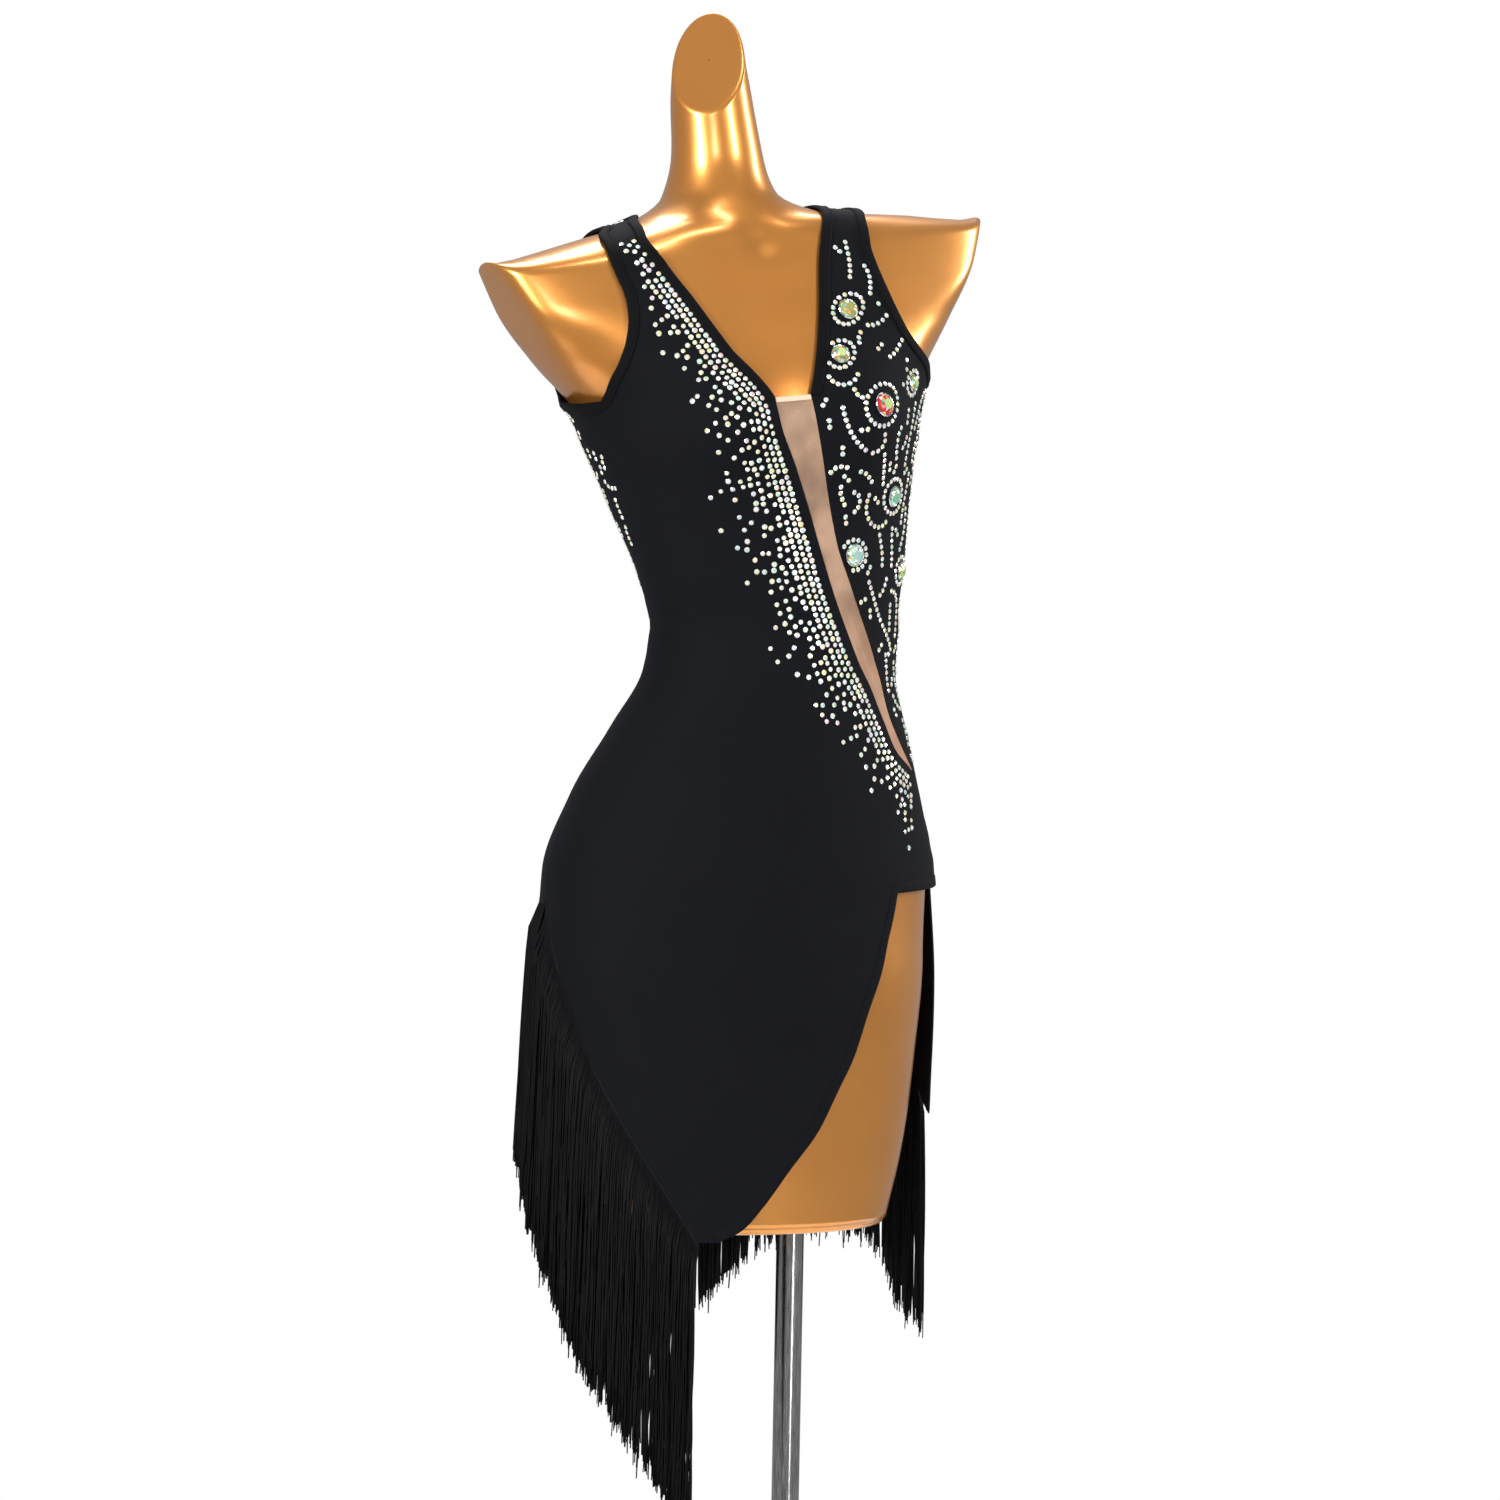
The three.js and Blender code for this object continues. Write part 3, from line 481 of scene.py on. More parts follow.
def steelMaterial(name, colour, rough, brushed):
    # cold-rolled steel, polished or brushed: streaks follow the work; the dark warm base colour given to the
    # chromed tube is painted reflection
    material, tree, shader = newMaterial(name, Metallic=1.0, Roughness=rough)
    where = addNode(tree, "ShaderNodeTexCoord").outputs["Object"]
    drawn = addNode(tree, "ShaderNodeMapping", {"Vector": where, "Scale": brushed})
    streaks = addNode(tree, "ShaderNodeTexNoise",
                      {"Vector": drawn.outputs["Vector"], "Scale": 60.0, "Detail": 4.0})
    rougher = addNode(tree, "ShaderNodeMapRange", {"Value": streaks.outputs["Fac"], "To Min": rough * 0.7,
                      "To Max": rough * 1.5})
    tree.links.new(rougher.outputs["Result"], shader.inputs["Roughness"])
    tone = ramp(tree, streaks.outputs["Fac"], [(0.3, colour), (0.7, "#d4d6d8")])
    tree.links.new(tone, shader.inputs["Base Color"])
    return material


jersey = jerseyMaterial("stretch jersey, warp knitted", "#07080c", "#0a0b10")
binding = jerseyMaterial("folded jersey binding, stitched", "#050507", "#08080b", waleMm=2.0)
thread = jerseyMaterial("polyester sewing thread, twisted", "#101116", "#1a1b21", waleMm=0.8)
nude = meshMaterial()
nudeTape = newMaterial("nude elastic tape, woven", Roughness=0.5, Sheen_Weight=0.3)[0]
nudeTape.node_tree.nodes["Principled BSDF"].inputs["Base Color"].default_value = srgb("#d9b9a0")
fringeCord = fringeMaterial()
gold = goldMaterial()
smallCrystal = crystalMaterial("coated glass, hot-fix cut", 0.4, 0.12)
largeCrystal = crystalMaterial("coated glass, sew-on cut", 0.45, 0.05)
foil = steelMaterial("stamped silver cup", "#b9bcc0", 0.2, (1, 1, 1))
# the chromed tube's dark warm grey is painted reflection of dark surroundings, darker and warmer than bare
# chrome
chrome = steelMaterial("steel tube, chromed", "#6f6965", 0.18, (60, 60, 1))
plate = steelMaterial("steel plate, brushed", "#9a9da1", 0.34, (1, 30, 1))
print("stage: materials")

# ---------- the dress form ----------
form = {"columns": 220, "lowRows": 210, "neckRows": 46, "capRows": 16, "neckFrom": 845.0, "rimRadius": 3.0,
        "bottomRadius": 5.0, "edgeSoftness": 9.0}
armCuts = table("x y height azimuth elevation", [[-243, 12, 713, -90, -32], [134, 12, 767, 90, -21]])
neckCut = {"point": (-84.0, 8.0, 922.0), "azimuth": -36.0, "elevation": 32.0}


def wayOf(azimuth, elevation):
    # the direction at an azimuth and an elevation in degrees
    a, e = math.radians(azimuth), math.radians(elevation)
    return np.array([math.sin(a) * math.cos(e), -math.cos(a) * math.cos(e), math.sin(e)])


def cutArms(points):
    # what stands past a cut is laid back onto its plane, with a soft rim
    for i in range(len(armCuts["x"])):
        way = wayOf(armCuts["azimuth"][i], armCuts["elevation"][i])
        centre = np.array([armCuts["x"][i], armCuts["y"][i], body["formBottom"] + armCuts["height"][i]])
        past = (points - centre) @ way
        k = form["edgeSoftness"]
        flat = -k * np.logaddexp(0, -past / k)
        near = (np.abs(points[..., 2] - centre[2]) < 130)[..., None]
        points = points + np.where(near, (flat - past)[..., None] * way, 0)
    return points


# the notch between the collarbones and the two bones: x, height above the underside, size and rise in mm
throat = {"x": -62.0, "level": 776.0, "radius": 13.0, "dent": 3.0}
bones = table("x level toX toLevel width rise", [[-78, 782, -132, 776, 8, 1.5], [-46, 784, 8, 793, 8, 1.5]])


def formRelief(places):
    # a dent at the throat, and a soft ridge along each collarbone that fades at its ends
    points = formSurface(places)
    spots = np.stack([points[..., 0], points[..., 2] - body["formBottom"]], axis=-1)
    away = np.linalg.norm(spots - [throat["x"], throat["level"]], axis=-1)
    total = -throat["dent"] * np.exp(-(away / throat["radius"]) ** 2)
    for i in range(len(bones["x"])):
        start = np.array([bones["x"][i], bones["level"][i]])
        end = np.array([bones["toX"][i], bones["toLevel"][i]])
        t, gap = besideLine(spots, start, end)
        total += bones["rise"][i] * np.sin(np.pi * t) ** 0.6 * np.exp(-(gap / bones["width"][i]) ** 2)
    return total * np.clip(3 * np.cos(np.radians(places[..., 0])), 0, 1)


def makeForm():
    # rings up the body; above the shoulders they slant to meet the neck's cut, then close over it;
    # the underside turns in through a quarter round
    angle = np.linspace(0, 360, form["columns"], endpoint=False)
    low = np.linspace(form["bottomRadius"], form["neckFrom"], form["lowRows"])
    lowPlaces = np.stack(np.meshgrid(angle, low), axis=-1)
    way = wayOf(neckCut["azimuth"], neckCut["elevation"])
    centre = np.array(neckCut["point"]) + [0, 0, body["formBottom"]]
    height = np.full(len(angle), neckCut["point"][2])
    for _ in range(30):
        place = np.stack([angle, height], axis=-1)
        height = np.clip(height - 0.8 * ((formSurface(place) - centre) @ way) / way[2], 850, body["neckTop"])
    rise = np.linspace(0, 1, form["neckRows"])[1:, None] ** 0.9
    topHeight = height - form["rimRadius"]
    neckHeights = form["neckFrom"] + (topHeight - form["neckFrom"]) * rise
    neckPlaces = np.stack(np.broadcast_arrays(angle, neckHeights), axis=-1)
    rings = [cutArms(proudOf(formSurface, lowPlaces, formRelief(lowPlaces))), formSurface(neckPlaces)]
    rim = formSurface(np.stack([angle, height], axis=-1))
    middle = rim.mean(axis=0)
    for t in np.linspace(0, 1, form["capRows"])[1:]:
        if t < 0.5:  # the rounded rim
            turn = t / 0.5 * math.pi / 2
            inward = unit(middle - rim) * form["rimRadius"] * (1 - math.cos(turn))
            below = height - form["rimRadius"] * (1 - math.sin(turn))
            ring = formSurface(np.stack([angle, below], axis=-1)) + inward
        else:
            shrink = (t - 0.5) / 0.5
            start = rim + unit(middle - rim) * form["rimRadius"]
            ring = start + (middle - start) * min(shrink, 0.985)
        rings.append(ring[None])
    bottomRings = []
    bottom = formSurface(np.stack([angle, np.zeros(len(angle))], axis=-1))
    bottomMiddle = bottom.mean(axis=0)
    for t in np.linspace(0.015, 1, 12):
        radius = form["bottomRadius"]
        if t > 0.55:
            turn = (1 - t) / 0.45 * math.pi / 2
            ring = bottom + unit(bottomMiddle - bottom) * radius * (1 - math.cos(turn))
            ring = ring + np.array([0, 0, radius * (1 - math.sin(turn))])
        else:
            start = bottom + unit(bottomMiddle - bottom) * radius
            ring = bottomMiddle + (start - bottomMiddle) * (t / 0.55)
        bottomRings.append(ring[None])
    rings = np.concatenate([part.reshape(-1, len(angle), 3) for part in bottomRings + rings])
    rows, columns = rings.shape[:2]
    return makePiece("dress_form", rings.reshape(-1, 3), ringFaces(rows, columns), gold)


dressForm = makeForm()
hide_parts("form_body")
print("stage: form")

# ---------- the cloth ----------
cloth = {"inside": 2.0, "outside": 3.3, "meshOutside": 2.9, "seamGap": 0.45, "seamRadius": 125.0,
         "waistToHip": 357.0}

# edges from the shoulder's ridge: a place, then [x, height] in the front view, then places
rightArmhole = {
    "ridge": [-90, 792.5],
    "view": [[-184, 770], [-184.5, 758], [-180, 741], [-174.5, 725], [-173, 708], [-175, 690], [-179, 674]],
    "places": [[-55, 679], [-62, 669], [-69, 662], [-76, 661], [-84, 664], [body["sideRight"], 666]]}
rightNeckline = {
    "ridge": [-90, 799.5],
    "view": [[-151, 783], [-153.5, 770], [-146, 757], [-137, 743], [-124, 725], [-111, 705], [-97.5, 684]],
    "places": [[-13, 673], [-9, 652]]}
leftNeckline = {
    "ridge": [90, 799], "view": [[-3, 801], [-12, 779], [-16.5, 758], [-20, 730], [-25, 700]],
    "places": [[6.3, 671], [4, 652]]}
leftArmhole = {
    "ridge": [90, 792.2],
    "view": [[32, 801], [28.5, 790], [28, 775], [31.5, 760], [38, 742], [46, 724], [56, 707], [68, 696]],
    "places": [[56, 671], [69, 660], [body["sideLeft"], 656]]}
leftArmholeBack = {
    "ridge": [90, 792.2],
    "view": [[36, 801], [35, 794], [34, 784], [33.5, 771], [35, 755], [39.5, 738], [46.5, 720], [57, 703]],
    "places": [[132, 679], [118, 665], [103, 658], [body["sideLeft"], 656]]}
leftNecklineBack = {
    "ridge": [90, 799], "view": [[1, 806], [-4, 805.6], [-10, 803.5], [-18, 797], [-27, 784], [-42, 767]],
    "places": [[180, 758]]}
rightNecklineBack = {
    "ridge": [270, 799.5], "view": [[-145, 786], [-137, 774], [-120, 764], [-90, 758.5]],
    "places": [[180, 758]]}
rightArmholeBack = {
    "ridge": [270, 792.5],
    "view": [[-169, 774], [-167, 762], [-165, 746], [-165, 728], [-169, 707], [-177, 688]],
    "places": [[234, 684], [243, 672], [254, 666], [body["sideRight"] + 360, 666]]}
centreBack = [[180, 758], [180, 655]]

# the other edges, as places
insertLeft = [[-9, 652], [-8, 630], [-4, 600], [-0.5, 571], [3.2, 537], [8.5, 504],
              [16, 473], [25, 447], [34, 426], [40, 403], [46.5, 380], [60, 365.5]]
insertRight = [[4, 652], [5.4, 630], [7.2, 600], [8.9, 571], [11.8, 537], [19, 504],
               [28, 473], [36.5, 449], [43, 430], [46.5, 404], [53, 384], [62.5, 365.3]]
fringeEdgeFront = [[body["sideRight"], 240], [-86, 222], [-80, 199], [-74.5, 176], [-68.5, 150],
                   [-61.5, 119], [-54, 91], [-46, 62], [-38.5, 34], [-33, 12], [-29, -4]]
slitEdge = [[36, 272], [32, 243], [28, 212], [23.2, 180], [19, 148], [13, 116], [7, 84], [-1.5, 54],
            [-9.5, 25], [-16, 6], [-23.5, -4]]
backHem = table("angle height", [
    [body["sideLeft"], 88], [93, 98], [99, 124], [107, 152], [112, 180], [120, 210], [136, 219],
    [150, 206], [162, 179], [173, 149], [185, 120], [197, 101], [208, 98], [219, 143], [230, 192],
    [240, 222], [250, 242], [258, 249], [body["sideRight"] + 360, 248]])
hemHeight = smoothCurve(backHem["angle"], backHem["height"])

# soft creases: from one place to another, their width, and their rise (or fall) in mm
creases = table("angle height toAngle toHeight width rise", [
    [-88, 505, -52, 478, 7, 0.9], [-90, 488, -44, 452, 8, 1.1], [-86, 468, -56, 470, 6, -0.7],
    [-90, 440, -60, 424, 9, 0.8], [-84, 652, -60, 604, 8, 1.2], [-70, 640, -48, 600, 9, 0.9],
    [-78, 624, -66, 580, 7, -0.7], [-34, 700, -22, 640, 9, 0.7], [84, 640, 62, 600, 8, 1.0],
    [84, 610, 70, 566, 7, 0.7], [84, 480, 56, 462, 7, 0.8], [86, 330, 52, 300, 9, 0.9],
    [84, 304, 50, 288, 8, 1.0], [38, 262, 4, 214, 12, 1.4], [34, 226, 2, 150, 13, 1.6],
    [20, 150, -10, 70, 13, 1.6], [-60, 210, -44, 110, 15, 1.8], [-36, 220, -26, 60, 16, 1.6],
    [-84, 330, -50, 262, 12, 0.8], [94, 500, 130, 470, 8, 1.0], [92, 470, 134, 450, 8, 1.1],
    [264, 500, 226, 474, 8, 1.1], [264, 470, 222, 448, 8, 1.0], [150, 452, 210, 446, 9, 1.2],
    [156, 430, 204, 426, 8, 0.9], [160, 474, 200, 470, 7, -0.7], [100, 640, 118, 590, 8, 1.0],
    [258, 640, 240, 590, 8, 1.0], [180, 300, 180, 230, 11, -0.8], [200, 220, 204, 110, 14, 2.2],
    [224, 210, 220, 120, 13, 1.8], [172, 230, 178, 140, 13, 1.6], [120, 236, 116, 200, 11, 1.4],
    [96, 240, 92, 130, 10, 1.5], [250, 250, 244, 190, 12, 1.5]])


def creaseRise(places):
    # a bell across each crease, fading to nothing at both ends
    spots = places * [mmPerDegree, 1]
    total = np.zeros(places.shape[:-1])
    for i in range(len(creases["angle"])):
        start = np.array([creases["angle"][i] * mmPerDegree, creases["height"][i]])
        end = np.array([creases["toAngle"][i] * mmPerDegree, creases["toHeight"][i]])
        t, away = besideLine(spots, start, end)
        fade = np.sin(np.pi * t) ** 0.7
        total += creases["rise"][i] * fade * np.exp(-(away / creases["width"][i]) ** 2)
    return total


def sheetOf(grid):
    # a panel's grid with the heights of its outside and its inside
    outer = cloth["outside"] + creaseRise(grid)
    return grid, outer, outer - (cloth["outside"] - cloth["inside"])


def eased(grid, toward):
    # places on a seam move back from it by half the seam's gap
    shift = math.degrees(cloth["seamGap"] / 2 / cloth["seamRadius"])
    grid = grid.copy()
    for angle, way in ((body["sideRight"], 1), (body["sideLeft"], -1), (-90, 2), (90, -2)):
        for turned in (angle, angle + 360):
            onSeam = np.abs(grid[..., 0] - turned) < 1e-6
            grid[..., 0] = np.where(onSeam, turned + way * toward * shift, grid[..., 0])
    return grid


def frontMainGrids():
    # ruled rows from the right strap down to the petal's tip
    columns = 46
    right, left = body["sideRight"], body["sideLeft"]
    side = [rightArmhole["places"][-1]] + [[right, height] for _, height in insertLeft[1:]]
    tip, level = insertLeft[-1], cloth["waistToHip"]
    return [
        ruled(shoulderEdge(rightArmhole), shoulderEdge(rightNeckline), 64, columns),
        ruled(smoothEdge(side), smoothEdge(insertLeft), 70, columns),
        ruled(straightEdge([right, tip[1]], [right, level]), straightEdge(tip, [left, level]), 8, columns),
        ruled(straightEdge([right, level], [right, 266]),
              straightEdge([left, level], [left, 279]), 20, columns),
        ruled(straightEdge([right, 266], fringeEdgeFront[0]),
              straightEdge([left, 279], slitEdge[0]), 12, columns),
        ruled(smoothEdge(fringeEdgeFront), smoothEdge(slitEdge), 70, columns)]


def frontLeftGrids():
    # the left strap, then a triangle that ends beside the insert's foot
    last = len(insertRight) - 1
    drop = insertRight[-1][1] - (cloth["waistToHip"] + cloth["seamGap"])
    side = [leftArmhole["places"][-1]] + [[body["sideLeft"], insertRight[i][1] - drop * (i / last) ** 2]
                                          for i in range(1, last + 1)]
    return [ruled(shoulderEdge(leftNeckline), shoulderEdge(leftArmhole), 64, 24),
            ruled(smoothEdge(insertRight), smoothEdge(side), 70, 24)]


backRows = {"upper": 64, "neck": 28}


def backGrids():
    # each half in ruled rows from its side to the middle, then both down to the hem
    columns = 30

    def half(armhole, neckline, seam):
        down = [600, 530, 460, 390, 320, body["hipLine"]]
        side, centre = [armhole["places"][-1][1]] + down, [centreBack[1][1]] + down
        middle = followedBy(shoulderEdge(neckline, True), straightEdge(*centreBack),
                            backRows["neck"] / backRows["upper"])
        return [ruled(shoulderEdge(armhole, True), middle, backRows["upper"], columns),
                ruled(smoothEdge([[seam, height] for height in side]),
                      smoothEdge([[180, height] for height in centre]), 60, columns)]

    left = half(leftArmholeBack, leftNecklineBack, body["sideLeft"])
    right = [grid[:, ::-1] for grid in half(rightArmholeBack, rightNecklineBack, body["sideRight"] + 360)]
    skirts = []
    for upper in (left[1], right[1]):
        top = upper[-1]
        bottom = np.stack([top[:, 0], hemHeight(top[:, 0])], axis=-1)
        skirts.append(mix(top[None], bottom[None], np.linspace(0, 1, 26)[:, None, None]))
    return left, right, skirts


front = frontMainGrids()
leftFront = frontLeftGrids()
backLeft, backRight, backSkirts = backGrids()
frontMain = wallPiece("front_main_cloth", [sheetOf(eased(grid, 1)) for grid in front], jersey)
frontLeft = wallPiece("front_left_cloth", [sheetOf(eased(grid, 1)) for grid in leftFront], jersey)
backCloth = wallPiece("back_panel_cloth",
                      [sheetOf(eased(grid, -1)) for grid in backLeft + backRight + backSkirts], jersey)
for piece, node in ((frontMain, "front_main"), (frontLeft, "front_left"), (backCloth, "back_panel")):
    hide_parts(node)

bothGaps = (cloth["seamGap"], cloth["seamGap"])
insertGrid = ruled(smoothEdge(insertLeft), smoothEdge(insertRight), 90, 10, bothGaps)
across = np.linspace(-1, 1, 11)[None, :]
insertSag = 0.5 * (1 - across ** 2) * np.sin(np.linspace(0, math.pi, 91))[:, None]
insertOuter = cloth["meshOutside"] - insertSag + 0.35 * np.exp(-((across + 0.35) / 0.16) ** 2)
insertMesh = wallPiece("mesh_insert_cloth", [(insertGrid, insertOuter, insertOuter - 0.8)], nude)
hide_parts("mesh_insert")
print("stage: cloth")


# ---------- bindings, hems and stitching ----------
def bandSheet(line, profile, closed=False):
    # a band beside a line: the profile gives distance from the line and the outer and inner heights
    along = headings(line, closed)
    distance, outer, inner = (np.array(part, float) for part in zip(*profile))
    grid = np.stack([walk(line, along, d) for d in distance], axis=1)
    if closed:
        grid = np.concatenate([grid, grid[:1]])
    rise = creaseRise(grid)
    return grid, outer[None] + rise, inner[None] + np.minimum(rise, 0)


def tidyLine(parts):
    # joins the parts of a line and drops places that stand twice
    line = np.concatenate(parts)
    keep = np.concatenate([[True], np.linalg.norm(np.diff(line, axis=0), axis=1) > 1e-6])
    return line[keep]


turnBack = np.array([360, 0])
neckLine = tidyLine([front[0][:, -1][::-1], backRight[0][:backRows["neck"], 0] - turnBack,
                     backLeft[0][:backRows["neck"] + 1, -1][::-1] - turnBack, leftFront[0][:, 0] - turnBack])
rightHole = tidyLine([front[0][:, 0], backRight[0][:, -1][::-1] - turnBack])[:-1]
leftHole = tidyLine([backLeft[0][:, 0], leftFront[0][:, -1][::-1]])[:-1]
low, high = cloth["inside"], cloth["outside"]
foldedEdge = [(-0.9, high + 0.2, low), (-0.6, high + 0.8, low), (0.6, high + 1.25, high + 0.1),
              (2.0, high + 1.35, high + 0.1), (4.5, high + 1.3, high + 0.1), (6.2, high + 1.15, high + 0.1),
              (7.2, high + 0.75, high + 0.1), (7.5, high + 0.3, high + 0.1)]
bindings = {
    "neck_binding_tape": (neckLine, False, "neck_binding"),
    "armhole_tape_right": (rightHole, True, "armhole_binding_right"),
    "armhole_tape_left": (leftHole, True, "armhole_binding_left")}
for name, (line, closed, node) in bindings.items():
    piece = wallPiece(name, [bandSheet(line, foldedEdge, closed)], binding, sharp=70)
    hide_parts(node)


# a stitch: how far from the cloth's edge its row runs and how far it is raised, then its own sizes
stitch = {"distance": 6.4, "raised": 1.3, "pitch": 2.6, "length": 1.9, "radius": 0.28}


def stitchPiece(name, line, closed=False):
    # short raised threads along a line, each a six-sided spindle
    along = headings(line, closed)
    pitch, length = stitch["pitch"], stitch["length"]
    track = walk(line, along, stitch["distance"])
    points = proudOf(clothSurface, track, high + creaseRise(track) + stitch["raised"])
    travelled = travelledAlong(points)
    at = np.arange(pitch, travelled[-1] - pitch, pitch)
    ends = [pickedAt(at + side, travelled, points) for side in (-length / 2, length / 2)]
    normals = pickedAt(at, travelled, slopesAt(clothSurface, track)[2])
    way = unit(ends[1] - ends[0])
    side = unit(np.cross(way, normals))
    ring = np.linspace(0, 2 * math.pi, 6, endpoint=False)
    turned = np.cos(ring)[None, :, None] * side[:, None] + np.sin(ring)[None, :, None] * normals[:, None]
    circle = turned * stitch["radius"]
    middle = (ends[0] + ends[1])[:, None] / 2
    points = np.concatenate([ends[0][:, None], middle + circle - 0.3 * length * way[:, None],
                             middle + circle + 0.3 * length * way[:, None], ends[1][:, None]], axis=1)
    k = np.arange(6)
    nextK = (k + 1) % 6
    caps = np.stack([np.zeros(6, int), nextK + 1, k + 1], axis=-1)
    tips = np.stack([np.full(6, 13), k + 7, nextK + 7], axis=-1)
    walls = np.stack([k + 1, nextK + 1, nextK + 7, k + 7], axis=-1)
    shift = (np.arange(len(at)) * 14)[:, None, None]
    faces = [list(f) for part in (caps, tips, walls) for f in (part[None] + shift).reshape(-1, part.shape[1])]
    piece = makePiece(name, points.reshape(-1, 3), faces, thread, uv=np.zeros((len(at) * 14, 2)))


slitLine = tidyLine([smoothEdge(slitEdge)(np.linspace(1, 0, 90)),
                     straightEdge(slitEdge[0], [body["sideLeft"] - 0.4, 279])(np.linspace(0, 1, 30))])
hemFold = [(-0.25, high - 0.1, low + 0.2), (0.3, high + 0.4, high + 0.05), (3, high + 0.5, high + 0.05),
           (7.4, high + 0.45, high + 0.05), (8.0, high + 0.15, high + 0.05)]
slitHem = wallPiece("slit_hem", [bandSheet(slitLine, hemFold)], jersey)
backSlitLevels = np.linspace(274, hemHeight(body["sideLeft"]) + 2, 80)
backSlitLine = np.stack([np.full(80, body["sideLeft"] + 0.2), backSlitLevels], axis=-1)
backSlitHem = wallPiece("back_slit_hem", [bandSheet(backSlitLine, hemFold)], jersey)
stitchPiece("stitch_neck", neckLine)
stitchPiece("stitch_armhole_right", rightHole, closed=True)
stitchPiece("stitch_armhole_left", leftHole, closed=True)
topTape = tidyLine([straightEdge([-8.6, 651.4], [3.6, 651.4])(np.linspace(0, 1, 14))])
tapeFold = [(-3.2, 3.3, 3.0), (-2.9, 3.7, 3.0), (0.2, 3.7, 2.9), (0.8, 3.5, 2.1)]
insertTape = wallPiece("insert_top_tape", [bandSheet(topTape, tapeFold)], nudeTape)
print("stage: bindings")

# ---------- fringe ----------
fringe = {"ragged": 5.5, "radius": 0.72, "layers": 4, "pitch": 1.1, "rings": 11, "sides": 3, "lock": 8.5,
          "tapeDrop": 8.0, "tapeClear": 0.3}
# how each length of fringe hangs: strand length, how far it stands off at once, and how far it leans
hang = {"fringe_front": {"length": 216.0, "standOff": 5.0, "lean": 6.0, "seed": 3},
        "fringe_back_left": {"length": 226.0, "standOff": 3.0, "lean": 2.0, "seed": 4},
        "fringe_back_right": {"length": 228.0, "standOff": 3.0, "lean": 4.0, "seed": 5}}
# strands beside the hips are shorter, and the right ones ride out over the hip
hipSwells = [{"angle": 256.0, "width": 8.0, "shorter": 34.0, "standOff": 1.5, "lean": 3.0},
             {"angle": 96.0, "width": 9.0, "shorter": 30.0, "standOff": 0.0, "lean": 0.0}]


